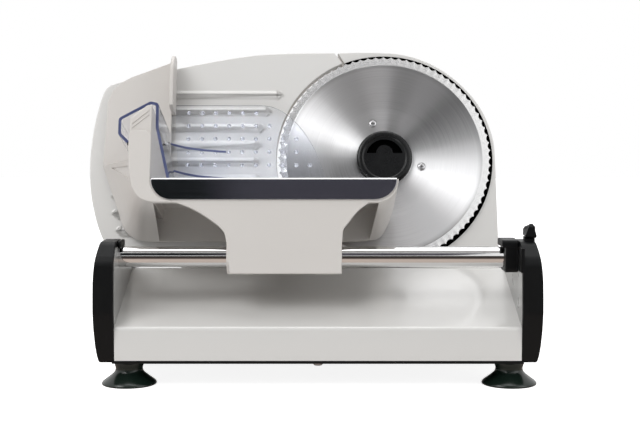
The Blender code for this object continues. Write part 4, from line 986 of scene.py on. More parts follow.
@dataclass
class Base(Assembly):
    """The painted base pan, its end caps, sockets, rail and suction feet."""

    half: float = 160.1
    deck_half: float = 159.9
    wall_out: float = 162.7
    front: float = -117.0
    rear: float = 124.0
    bottom: float = 21.9
    fold: float = 48.0
    shelf_y: float = -15.0
    shelf_z: float = 84.0
    wall: float = 2.6
    rail_radius: float = 8.2
    rail_half: float = 161.5
    foot_x: float = 151.2
    right_foot_x: float = 153.0
    foot_rows: tuple[tuple[str, float], ...] = (("front", -98.0), ("rear", 104.0))
    cord_radius: float = 8.2
    cap_inner: float = 163.0
    cap_lap: float = 2.8
    cap_rim: float = 4.5
    cap_low: float = 19.9
    cap_top: float = 114.6
    pin_height: float = 121.8
    pin_bore: float = 1.8

    def side_line(self) -> list[Point]:
        """The side outline of the pan, depth and height.

        Returns:
            The outline.
        """
        corners = [
            (self.front, self.bottom), (self.rear, self.bottom), (self.rear, self.shelf_z),
            (self.shelf_y, self.shelf_z), (self.front, self.fold),
        ]
        return rounded(corners, [0, 0, 6, 14, 4], 8)

    def build_pan(self) -> None:
        """The pan: folded sheet with two end walls, the rail's holes and the cable's hole."""
        pan = Bench.slab("base_pan", self.side_line(), -self.half, self.half)
        wall_line = offset(self.cap_corners(), self.cap_rim + 0.3)
        for low, high in ((-self.wall_out, -self.deck_half), (self.deck_half, self.wall_out)):
            Bench.add(pan, Bench.slab("wall", wall_line, low, high))
        floor = self.bottom - 4
        inside = [(y, z if z > self.bottom + 5 else floor) for y, z in offset(self.side_line(), self.wall)]
        reach = self.half - self.wall
        Bench.cut(pan, Bench.slab("inside", inside, -reach, reach))
        Bench.soften(pan, 0.7, 2, 40)
        for x in (-self.half, self.half):
            Bench.cut(pan, Bench.rod(self.rail_radius + 0.3, x - 8, x + 8, (RAIL_Y, RAIL_Z)))
        Bench.move(pan, self.layout.side())
        Bench.cut(pan, Bench.move(Bench.rod(self.cord_radius, -6, 6), self.layout.rear(*CORD_HOLE)))
        pan = self.settle(pan, Matrix(), DECK_PAINT, "base", "base_shell")

        def walled(p: Vector, n: Vector) -> bool:
            """Whether a face is the inner side of an end wall."""
            return abs(n.x) > 0.9 and abs(abs(p.x) - self.deck_half) < 0.15 and p.z > self.fold

        # The inner faces of the end walls get the darker enamel copy as painted shade and painted reflection.
        self.repaint(pan, WALL_PAINTED_SHADE, self.layout.world(), walled)

    def cap_corners(self) -> list[Point]:
        """The corners of an end cap seen from the side, depth and height.

        Returns:
            The corners.
        """
        low, high = self.cap_low, self.cap_top
        return [
            (-116.0, low), (self.rear + 2, low), (self.rear + 3, 86.5), (-20.0, 89.0), (-64.0, 110.6),
            (-76.0, high), (-104.0, high), (-117.5, 101.0), (-120.5, 60.0),
        ]

    def lever_pin(self) -> Matrix:
        """The thumb lever's pin, seen from the side."""
        return self.layout.side(self.cap_inner + 1.2, -92.0, self.pin_height)

    def add_lever_mount(self, cap: Piece) -> None:
        """Adds what holds the thumb lever, and the liner in front of the rail.

        Args:
            cap: The right end cap.
        """
        ear_line = rounded([(-2.9, -10.0), (2.9, -10.0), (2.9, 3.0), (-2.9, 3.0)], [0, 0, 2.4, 2.4], 8)
        ear = Bench.soften(Bench.slab("ear", ear_line, 3.3, 5.5), 0.3, 2)
        Bench.cut(ear, Bench.rod(self.pin_bore, 0, 9))
        Bench.add(cap, Bench.move(ear, self.lever_pin()))
        saddle = Bench.slab("saddle", [(-4.4, -9.0), (4.4, -9.0), (3.4, -3.5), (-3.4, -3.5)], 0.4, 8.8)
        Bench.add(cap, Bench.move(Bench.soften(saddle, 0.6, 3), self.lever_pin()))
        liner = Bench.block("liner", (158.9, -118.0, 91.6), (159.85, -104.9, 110.6))
        bridge = Bench.block("bridge", (158.9, -118.0, 91.6), (161.4, -115.4, 110.6))
        Bench.add(cap, Bench.move(Bench.add(liner, bridge), self.layout.world()))

    def build_cap(self, side: str, sign: int) -> None:
        """One end cap, bowed outwards and rounded over its top edge.

        Args:
            side: Which one, in its name.
            sign: Which one, as the sign of x.
        """
        bow = [
            (9.4, self.cap_low), (11.0, 26.2), (12.1, 34.0), (13.0, 46.0), (13.35, 60.0), (13.4, 72.0),
            (13.3, 84.0), (12.8, 92.0), (12.0, 99.4), (10.9, 107.4), (9.4, self.cap_top),
        ]
        inner = self.cap_inner - self.cap_lap
        outer = [(self.cap_inner + out, z) for out, z in bow]
        section = [(inner, self.cap_low), *outer, (inner, self.cap_top)]
        cap = Bench.slab(f"end_cap_{side}_shell", [(sign * x, z) for x, z in section], -130.0, 126.0)
        Bench.move(cap, self.layout.front())
        corners = self.cap_corners()
        low, high = sorted((sign * (self.cap_inner - 5), sign * (self.cap_inner + 22)))
        line = rounded(corners, [4, 4, 8, 14, 8, 8, 10, 14, 30], 10)
        Bench.keep(cap, Bench.move(Bench.slab("side", line, low, high), self.layout.side()))
        Bench.soften(cap, 2.2, 5, 34)
        low, high = sorted((sign * (inner - 4), sign * (self.cap_inner + 5.4)))
        hollow = Bench.slab("hollow", offset(corners, self.cap_rim), low, high)
        Bench.cut(cap, Bench.move(hollow, self.layout.side()))
        if sign > 0:
            self.add_lever_mount(cap)
        self.settle(cap, Matrix(), BLACK_PLASTIC, "base", f"end_cap_{side}")

    def build_rail(self) -> None:
        """The polished rail and the two blocks that hold it."""
        r, end = self.rail_radius, self.rail_half
        half = [(r - 1.5, end), (r - 0.4, end), (r, end - 0.4)]
        rail = Bench.turned("rail_polished_tube", [*((x, -z) for x, z in half), *reversed(half)], 72)
        axis = self.layout.side(0.0, RAIL_Y, RAIL_Z)
        self.settle(rail, axis, CHROME, "base", "rail_tube")
        right = rounded([(-13.4, -11.6), (13.0, -11.6), (13.0, 14.2), (-13.4, 14.2)], 4, 6)
        left = rounded([(-10.5, 7.4), (10.5, 7.4), (10.5, 13.6), (-10.5, 13.6)], 2, 6)
        for side, line, low, high in (("right", right, 149.2, 159.6), ("left", left, -159.6, -157.0)):
            socket = Bench.soften(Bench.slab(f"rail_socket_{side}_block", line, low, high), 1.0, 3)
            if side == "right":
                brow = rounded([(-13.8, 8.6), (13.4, 8.6), (13.4, 14.6), (-13.8, 14.6)], [1, 1, 4, 4], 6)
                Bench.add(socket, Bench.soften(Bench.slab("brow", brow, 146.4, 159.6), 1.0, 3))
            Bench.cut(socket, Bench.rod(r + 0.3, low - 4, high + 4))
            self.settle(socket, axis, BLACK_PLASTIC, "base", f"rail_socket_{side}")

    def build_feet(self) -> None:
        """Four suction feet: one is turned, and the others are copies of it."""
        profile = [
            (0, 4.8), (5, 4.6), (9, 4.0), (12, 3.0), (14.6, 1.5), (16.6, 0), (21.0, 0), (21.7, 0.4),
            (21.9, 1.1), (21.5, 2.0), (20.5, 3.0), (18.9, 4.2), (16.9, 5.7), (14.9, 7.2), (13.2, 8.6),
            (12.0, 9.8), (11.2, 11.0), (10.8, 12.4), (10.9, 14.0), (11.4, 15.4), (11.6, 16.6),
            (11.6, 18.4), (11.1, 19.1), (3.0, 19.1), (3.0, 9.5), (0, 9.5),
        ]
        first = Bench.turned("suction_foot", profile, 64)
        for row, y in self.foot_rows:
            for side, x in (("left", -self.foot_x), ("right", self.right_foot_x)):
                foot = Bench.copy(first, f"suction_foot_{row}_{side}")
                self.settle(foot, self.layout.world(x, y), RUBBER, "base", f"foot_{row}_{side}", smooth=50.0)
        bpy.data.objects.remove(first)

    def build_lever(self) -> None:
        """The small thumb lever on the right end cap."""
        tab = [(-3.2, 4.0), (-5.0, 6.8), (-8.0, 6.8), (-10.0, 4.4), (-10.0, -3.4), (-7.4, -4.6)]
        line = arc(3.0, 200, 420, 18) + rounded(tab, [0, 1.5, 1.5, 1.5, 1.5, 0], 5)
        lever = Bench.soften(Bench.slab("thumb_lever", line, 0.0, 9.2), 0.5, 3)
        Bench.edit(lever)
        for floor, ceiling, share in ((5.6, 9.0, 0.3), (3.4, 5.6, 0.5), (0.8, 3.4, 0.75)):
            if Bench.pick(lever, lambda p: p.x < -3.6 and floor < p.y <= ceiling):
                bpy.ops.transform.resize(value=(1, 1, share), center_override=(0, 0, 5.4 * MM))
        bpy.ops.object.mode_set(mode="OBJECT")
        slot = [(-4.2, -6.0), (6.0, -6.0), (6.0, 4.4), (-4.2, 4.4)]
        Bench.cut(lever, Bench.rod(self.pin_bore, -3, 14), Bench.slab("slot", slot, 3.0, 5.8))
        self.settle(lever, self.lever_pin(), BLACK_PLASTIC, "lever", "rail_lock_lever")

    def build(self) -> None:
        """Builds the whole base."""
        self.build_pan()
        self.build_cap("left", -1)
        self.build_cap("right", 1)
        self.build_rail()
        self.build_feet()
        self.build_lever()


@dataclass
class BladeSet(Assembly):
    """The scalloped round blade, its screws and the knob that locks it."""

    radius: float = 95.0
    bevel: float = 87.5
    teeth: int = 84
    tooth_steps: int = 6
    tooth_depth: float = 1.9
    tooth_curve: float = 0.8
    rim_bands: tuple[tuple[float, float, float], ...] = ((94.0, 96.0, 1.0), (92.0, 93.0, 0.55))
    fluted_from: float = 89.0
    flute: float = 0.072
    dish: float = 3.2
    thickness: float = 1.4
    bore: float = 12.0
    screw_circle: float = 34.0
    screw_angles: tuple[float, ...] = (107.0, -13.0, 227.0)
    knob: float = 24.8
    recess: float = 16.6
    recess_start: float = 14.0
    bump: float = 7.4

    def build_blade(self) -> None:
        """The blade: a spun disc whose rim is scalloped by drawing in what lies between the teeth."""
        top, low = -self.dish, -self.dish - self.thickness
        profile = [
            (self.bore, top), (44.6, top), (46.0, top + 0.02), (47.6, top + 0.1), (67.0, -1.6),
            (self.bevel - 0.7, -0.03), (self.bevel - 0.3, -0.2), (self.bevel + 0.1, -0.3), (90.0, -0.36),
            (92.6, -0.48), (self.radius, -0.62), (self.radius, -0.88), (self.bevel, -self.thickness),
            (46.0, low), (self.bore, low),
        ]
        steps = self.teeth * self.tooth_steps
        blade = Bench.turned("scalloped_blade", profile, steps)
        Bench.edit(blade)
        step = 360.0 / steps

        def phase(place: Vector) -> int:
            """How far into its tooth a place is, in steps."""
            return round(math.degrees(math.atan2(place.y, place.x)) / step) % self.tooth_steps

        for k in range(1, self.tooth_steps):
            share = math.sin(math.pi * k / self.tooth_steps) ** self.tooth_curve
            for floor, ceiling, pull in self.rim_bands:
                Bench.pick(blade, lambda p: floor < p.xy.length < ceiling and phase(p) == k)
                factor = 1 - pull * self.tooth_depth * share / self.radius
                bpy.ops.transform.resize(value=(factor, factor, 1.0), center_override=(0, 0, 0))
            Bench.pick(blade, lambda p: p.xy.length > self.fluted_from and p.z > -0.7 and phase(p) == k)
            bpy.ops.transform.translate(value=(0, 0, -self.flute * share * MM))
        bpy.ops.object.mode_set(mode="OBJECT")
        holes = []
        seat = [(0, low - 1), (1.9, low - 1), (1.9, top - 1.2), (3.9, top - 1.0), (3.9, 2), (0, 2)]
        for angle in self.screw_angles:
            at = Matrix.Translation(Vector((*polar(self.screw_circle, angle), 0)) * MM)
            holes.append(Bench.move(Bench.turned("sink", seat, 32), at))
        Bench.cut(blade, Bench.join(holes))
        lean = self.layout.lean()
        # The blade's colour carries painted highlight and painted shade in sectors round its centre.
        finish = RoundBrushed("blade_brushed_steel_painted_light", STEEL, (0.88, 0.88, 0.89), 0.40, centre=lean)
        blade = self.settle(blade, lean, finish, "blade", "blade", smooth=16.0)
        self.repaint(blade, GROUND_EDGE, lean, lambda p, n: p.xy.length > self.bevel and p.z > -0.75)

    def build_screws(self) -> None:
        """Three countersunk screws with cross slots."""
        top = -self.dish
        profile = [
            (0, top + 0.3), (1.6, top + 0.22), (2.7, top), (3.1, top - 0.3), (3.1, top - 0.9),
            (1.3, top - 1.0), (1.3, -14.0), (0, -14.0),
        ]
        first = Bench.turned("blade_fixing_screw", profile, 40)
        for wide, tall in ((1.9, 0.5), (0.5, 1.9)):
            Bench.cut(first, Bench.block("slot", (-wide, -tall, top - 2.4), (wide, tall, 2)))
        for index, angle in enumerate(self.screw_angles):
            u, v = polar(self.screw_circle, angle)
            screw = Bench.copy(first, f"blade_fixing_screw_{index + 1}")
            self.settle(screw, self.layout.lean(u, v), SCREW_ZINC, "blade", f"blade_screw_{index + 1}")
        bpy.data.objects.remove(first)

    def build_knob(self) -> None:
        """The lock knob: a turned cap with a finger recess round a half-round bump."""
        back = -self.dish + 0.3
        profile = [
            (0, back - 1.6), (7.0, back - 1.6), (7.0, back), (self.knob, back), (self.knob, 0.1),
            (self.knob - 0.5, 0.9), (self.knob - 1.6, 1.5), (22.0, 1.75), (20.4, 1.9), (19.7, 1.75),
            (19.2, 1.2), (18.6, 0.98), (18.2, 1.0), (0, 1.0),
        ]
        knob = Bench.turned("blade_lock_knob", profile, 128)
        start, edge = self.recess_start, polar(self.recess, self.recess_start)[1]
        bump = [(x, y + edge) for x, y in arc(self.bump, 180, 0, 24)]
        line = arc(self.recess, start, 180 - start, 40) + bump
        Bench.soften(Bench.cut(knob, Bench.slab("recess", line, -2.2, 6.0)), 0.45, 3, 50)
        lean = self.layout.lean()
        knob = self.settle(knob, lean, KNOB_PLASTIC, "lock_knob", "lock_knob")
        # The floor of the finger recess gets near-black painted shade.
        self.repaint(knob, PAINTED_SHADE_BLACK, lean, lambda p, n: p.xy.length < 17.0 and -2.4 < p.z < 0.1)

    def build(self) -> None:
        """Builds the blade set."""
        self.build_blade()
        self.build_screws()
        self.build_knob()


@dataclass
class Housing(Assembly):
    """The motor housing, the ring behind the blade and the fittings at the back."""

    blade: float = 95.0
    shelf: float = 84.3
    rear: float = 121.0
    wall: float = 2.6
    ring_front: float = -5.0
    ring_back: float = -8.0
    ring_opening: float = 97.1
    centre_x: float = BLADE_CENTRE[0]
    openings: tuple[tuple[Point, Point], ...] = (
        ((-20.0, 112.0), (56.0, 152.0)), ((40.0, 172.0), (56.0, 196.0)),
    )

    def outline(self) -> list[Point]:
        """The front outline in the lean frame, as a smooth curve above its straight right side.

        Returns:
            The outline.
        """
        side = self.blade + 5.2
        bottom = [(-50.0, -130.0), (side, -130.0), (side, -78.0), (side - 0.4, -36.0), (side - 0.8, 0.0)]
        places = [
            (10.35, 4.9), (22.27, 4.9), (31.2, 4.8), (39.25, 4.5), (49.34, 4.4), (59.74, 4.8),
            (70.57, 5.3), (81.3, 5.6), (92.16, 6.0), (102.97, 8.8), (112.35, 13.7), (111.76, 6.43),
            (111.35, -0.51), (113.03, -8.07), (124.11, -20.12), (138.65, -28.4),
        ]
        curve = [polar(self.blade + out, degrees) for degrees, out in places]
        count = len(bottom) + len(curve)
        return flow(bottom + curve, {0, 1, 2, 3, 14, 15, count - 1}, 4)

    def side_line(self, inset: float = 0.0) -> list[Point]:
        """The side outline that trims the housing, depth and height.

        Args:
            inset: How far it is drawn in, for the inner side.

        Returns:
            The outline.
        """
        low = self.shelf - (10.0 if inset else 0.0)
        rear = self.rear - inset
        corners = [
            (-40, low), (rear, low), (rear, 240 - inset), (96 - inset, 300 - inset), (-40, 300 - inset),
        ]
        return rounded(corners, [0, 0, 40, 10, 0], 12)

    def trimmed(self, name: str, line: Sequence[Point], low: float, high: float, inset: float) -> Piece:
        """A front outline along the lean, trimmed by the side outline.

        Args:
            name: The new piece's name.
            line: The front outline.
            low: Where it starts along the lean.
            high: Where it ends.
            inset: How far the side outline is drawn in.

        Returns:
            The solid.
        """
        piece = Bench.move(Bench.slab(name, line, low, high), self.layout.lean())
        side = Bench.slab("side", self.side_line(inset), -60, 200)
        return Bench.keep(piece, Bench.move(side, self.layout.side()))

    def build_shell(self) -> None:
        """The shell with its vent and switch openings."""
        line = self.outline()
        shell = self.trimmed("motor_housing_shell", line, -150.0, self.ring_back - 0.3, 0.0)
        Bench.soften(shell, 1.6, 4, 38)
        inner = self.trimmed("inner", offset(line, self.wall), -150.0, self.ring_back + 20, self.wall)
        Bench.cut(shell, inner)
        x, y = self.centre_x, self.rear
        for low, high in self.openings:
            opening = Bench.block("opening", (x + low[0], y - 6, low[1]), (x + high[0], y + 4, high[1]))
            Bench.cut(shell, Bench.move(opening, self.layout.world()))
        shell = self.settle(shell, Matrix(), LIGHT_GREY_PAINT, "base", "motor_housing")

        def unlit(p: Vector, n: Vector) -> bool:
            """Whether a face is inside the shell."""
            return p.z > self.ring_back - 0.8 or p.xy.normalized().dot(n.xy) < -0.3

        # Faces inside the shell get near-black painted shade.
        self.repaint(shell, PAINTED_SHADE_BLACK, self.layout.lean(), unlit)

    def build_ring(self) -> None:
        """The flat ring behind the blade."""
        ring = self.trimmed("housing_front_ring", self.outline(), self.ring_back, self.ring_front, 0.0)
        Bench.soften(ring, 0.9, 3, 38)
        hole = Bench.rod(self.ring_opening, self.ring_back - 5, self.ring_front + 5, steps=160)
        Bench.cut(ring, Bench.move(hole, self.layout.lean()))
        ring = self.settle(ring, Matrix(), LIGHT_GREY_PAINT, "base", "housing_front")
        # The wall of the opening gets near-black painted shade, for the dark gap round the blade.
        edge, lean = self.ring_opening + 0.4, self.layout.lean()
        self.repaint(ring, PAINTED_SHADE_BLACK, lean, lambda p, n: p.xy.length < edge and abs(n.z) < 0.8)

    def build_back(self) -> None:
        """The vent grille, the switch with its bezel and the cable's gland."""
        x, y = self.centre_x, self.rear + 0.3
        grille = Bench.soften(Bench.block("vent_louvres", (x - 24, y, 108), (x + 60, y + 2.4, 156)), 0.8, 3)
        for z in range(114, 151, 7):
            Bench.cut(grille, Bench.block("slot", (x - 18, y - 4, z), (x + 54, y + 6, z + 3.4)))
        self.settle(grille, self.layout.world(), BLACK_PLASTIC, "base", "vent_grille")
        bezel = Bench.soften(Bench.block("switch_frame", (x + 36, y, 168), (x + 60, y + 2.4, 200)), 0.8, 3)
        Bench.cut(bezel, Bench.block("window", (x + 40.6, y - 4, 172.6), (x + 55.4, y + 6, 195.4)))
        self.settle(bezel, self.layout.world(), BLACK_PLASTIC, "base", "switch_bezel")
        profile = [
            (-0.2, -11.0), (2.6, -11.0), (0.8, 0.0), (4.2, 11.0), (-0.6, 11.0), (-5.0, 6.0), (-5.0, -6.0),
        ]
        rocker = Bench.soften(Bench.slab("switch_rocker_cap", profile, -7.0, 7.0), 0.5, 3)
        at = self.layout.side(x + 48, self.rear + 1.6, 184.0)
        self.settle(rocker, at, KNOB_PLASTIC, "switch", "switch_rocker")
        gland = [
            (4.4, -9.0), (7.8, -9.0), (7.8, 0.3), (10.4, 0.3), (11.0, 0.9), (11.0, 2.4), (10.4, 3.1),
            (8.6, 4.2), (7.8, 5.6), (7.5, 6.4), (7.9, 6.9), (7.2, 7.5), (6.9, 8.4), (7.2, 9.0),
            (6.6, 9.7), (6.6, 11.6), (6.2, 12.0), (4.4, 12.0),
        ]
        boot = Bench.turned("cable_gland_boot", gland, 48)
        self.settle(boot, self.layout.rear(*CORD_HOLE), RUBBER, "base", "cord_gland")

    def build(self) -> None:
        """Builds the housing."""
        self.build_shell()
        self.build_ring()
        self.build_back()


@dataclass
class ThicknessGuide(Assembly):
    """The ribbed thickness plate, its guide block and rods, and the dial."""

    face: float = -1.4
    sheet: float = 2.4
    lip: float = 10.0
    arc_radius: float = 96.4
    arc_end: float = 112.6
    low: float = -81.0
    left: float = -263.2
    pitch: float = 15.7
    rib_half: float = 4.6
    rib_rise: float = 1.3
    rib_shift: float = -3.9
    rib_gap: float = 15.0
    rib_insets: tuple[float, float, float] = (25.2, 17.2, 27.2)
    rib_dome: tuple[Point, ...] = (
        (0.6, 0.08), (0.6, 0.2), (0.6, 0.26), (0.6, 0.22), (0.7, 0.14), (0.5, 0.05),
    )
    guide_u: float = -154.0
    spread: float = 20.0
    guide_v: float = -28.0
    dial_v: float = 2.0
    block: tuple[float, float] = (-75.0, -55.0)
    dial_radius: float = 21.0
    shelf: float = 84.3

    def outline(self) -> list[Point]:
        """The plate's outline, anticlockwise from its bottom left.

        Returns:
            The outline.
        """
        start_v = self.low + 1.0
        start_u = -math.sqrt(self.arc_radius**2 - start_v**2)
        start = math.degrees(math.atan2(start_v, start_u)) + 360
        curve = arc(self.arc_radius, start, self.arc_end, 90)
        corner = [polar(self.arc_radius + 12.47, self.arc_end + 1.47)]
        top = [(-80.0, 99.0), (-116.8, 97.1), (-150.0, 91.8), (-184.9, 84.7), (-222.0, 75.6)]
        side = [
            (-247.0, 68.6), (-252.4, 63.0), (-257.0, 48.0), (-260.8, 28.0), (-262.85, 8.0),
            (-263.05, -12.0), (-261.4, -32.0), (-257.6, -50.0), (-252.6, -66.0), (-246.4, -77.0),
        ]
        bottom = [(-232.0, self.low), (start_u - 6.2, self.low)]
        smooth = flow([corner[0], *top, *side, *bottom], {0, 17}, 4)
        return smooth[: 17 * 4 + 1] + curve

    def rib_ends(self, v: float) -> Point:
        """Where the rib at a height starts and ends.

        Args:
            v: The height.

        Returns:
            Its left end and its right end.
        """
        right = -math.sqrt(self.arc_radius**2 - v**2) - self.rib_gap
        lowest, middle, highest = self.rib_insets
        inset = middle + abs(v + 5) * 0.09
        if v > 50:
            inset = highest
        if v < -60:
            inset = lowest
        return (self.left + inset, right)

    def build_plate(self) -> None:
        """The plate: a tray with a soft rim, guide bosses behind and domed ribs in front."""
        line = self.outline()
        plate = Bench.slab("ribbed_thickness_plate", line, self.face - self.lip, self.face)
        Bench.soften(plate, 1.1, 4, 50)
        inside = Bench.slab("inside", offset(line, 2.2), self.face - self.lip - 5, self.face - self.sheet)
        Bench.cut(plate, inside)
        bosses, bores = [], []
        guide, dial = (self.guide_v, 8.0, 4.35, -36.0), (self.dial_v, 10.0, 5.35, -34.0)
        for across, (v, outer, bore, back) in ((-self.spread, guide), (self.spread, guide), (0, dial)):
            at = (self.guide_u + across, v)
            bosses.append(Bench.rod(outer, back, self.face - 1.2, at))
            bores.append(Bench.rod(bore, back - 4, self.face - 4.4, at))
        Bench.add(plate, Bench.join(bosses))
        Bench.cut(plate, Bench.join(bores))
        for k in range(-4, 5):
            v = self.pitch * k + self.rib_shift
            left, right = self.rib_ends(v)
            h = self.rib_half
            corners = [(left, v - h), (right, v - h), (right, v + h), (left, v + h)]
            level = self.face + 0.04
            rib = Bench.slab("rib", rounded(corners, 4.1, 8), self.face - 0.5, level)
            Bench.edit(rib)
            for width, share in self.rib_dome:
                Bench.pick(rib, lambda p: p.z > level - 0.01)
                bpy.ops.mesh.inset(thickness=width * MM, depth=0.0)
                bpy.ops.transform.translate(value=(0, 0, share * self.rib_rise * MM))
                level += share * self.rib_rise
            bpy.ops.object.mode_set(mode="OBJECT")
            Bench.add(plate, rib)
        lean = self.layout.lean()
        self.settle(plate, lean, LIGHT_GREY_PAINT, "thickness_plate", "thickness_plate", smooth=40.0)

    def build_guides(self) -> None:
        """The guide block and the two rods."""
        g = self.guide_u
        low, high = self.block
        corners = [(g - 32, -130), (g + 32, -130), (g + 32, 10), (g + 20, 24), (g - 20, 24), (g - 32, 10)]
        block = Bench.slab("guide_housing", rounded(corners, [0, 0, 8, 10, 10, 8], 8), low, high)
        Bench.soften(block, 1.6, 4, 34)
        Bench.move(block, self.layout.lean())
        above = Bench.block("above", (-300, -200, self.shelf), (300, 300, 400))
        Bench.keep(block, Bench.move(above, self.layout.world()))
        hollow = Bench.block("hollow", (g - 28, -130, low + 4), (g + 28, -42, high - 4))
        Bench.cut(block, Bench.move(hollow, self.layout.lean()))
        bores = ((-self.spread, self.guide_v, 4.3), (self.spread, self.guide_v, 4.3), (0, self.dial_v, 5.3))
        for across, v, r in bores:
            Bench.cut(block, Bench.move(Bench.rod(r, -100, -30, (g + across, v)), self.layout.lean()))
        self.settle(block, Matrix(), LIGHT_GREY_PAINT, "base", "guide_block")
        for side, sign in (("left", -1), ("right", 1)):
            profile = [(0, low), (3.6, low), (4.0, low + 0.4), (4.0, -22.6), (3.4, -22.0), (0, -22.0)]
            rod = Bench.turned(f"guide_rod_{side}_ground", profile, 40)
            at = self.layout.lean(g + sign * self.spread, self.guide_v)
            self.settle(rod, at, CHROME, "base", f"guide_rod_{side}")

    def build_dial(self) -> None:
        """The dial at the back, with a grip bar and marks round its skirt."""
        top = self.block[0]
        back = top - 16.0
        r = self.dial_radius
        dial = [
            (6.5, top - 0.5), (r - 0.4, top - 0.5), (r, top - 0.9), (r, top - 3.6), (r - 0.4, top - 4.1),
            (r - 4.0, top - 5.0), (r - 4.6, top - 6.0), (r - 5.0, back + 1.4), (r - 5.4, back + 0.4),
            (r - 6.2, back), (0, back), (0, top - 2.0), (6.5, top - 2.0),
        ]
        spindle = [(0, back + 3), (4.99, back + 3), (4.99, -22.6), (4.4, -22.0), (0, -22.0)]
        knob = Bench.turned("thickness_dial_knob", dial, 96)
        Bench.add(knob, Bench.turned("spindle", spindle, 40))
        grip = Bench.soften(Bench.block("grip", (-2.4, -13.5, back - 4.0), (2.4, 13.5, back + 0.7)), 0.8, 3)
        Bench.add(knob, grip)
        for degrees in range(0, 301, 20):
            mark = Bench.block("mark", (r - 3.2, -0.3, top - 4.8), (r - 0.9, 0.3, top - 3.4))
            Bench.cut(knob, Bench.move(mark, Matrix.Rotation(math.radians(degrees - 60), 4, "Z")))
        self.settle(knob, self.layout.lean(self.guide_u, self.dial_v), KNOB_PLASTIC, "dial", "thickness_dial")

    def build(self) -> None:
        """Builds the thickness guide."""
        self.build_plate()
        self.build_guides()
        self.build_dial()


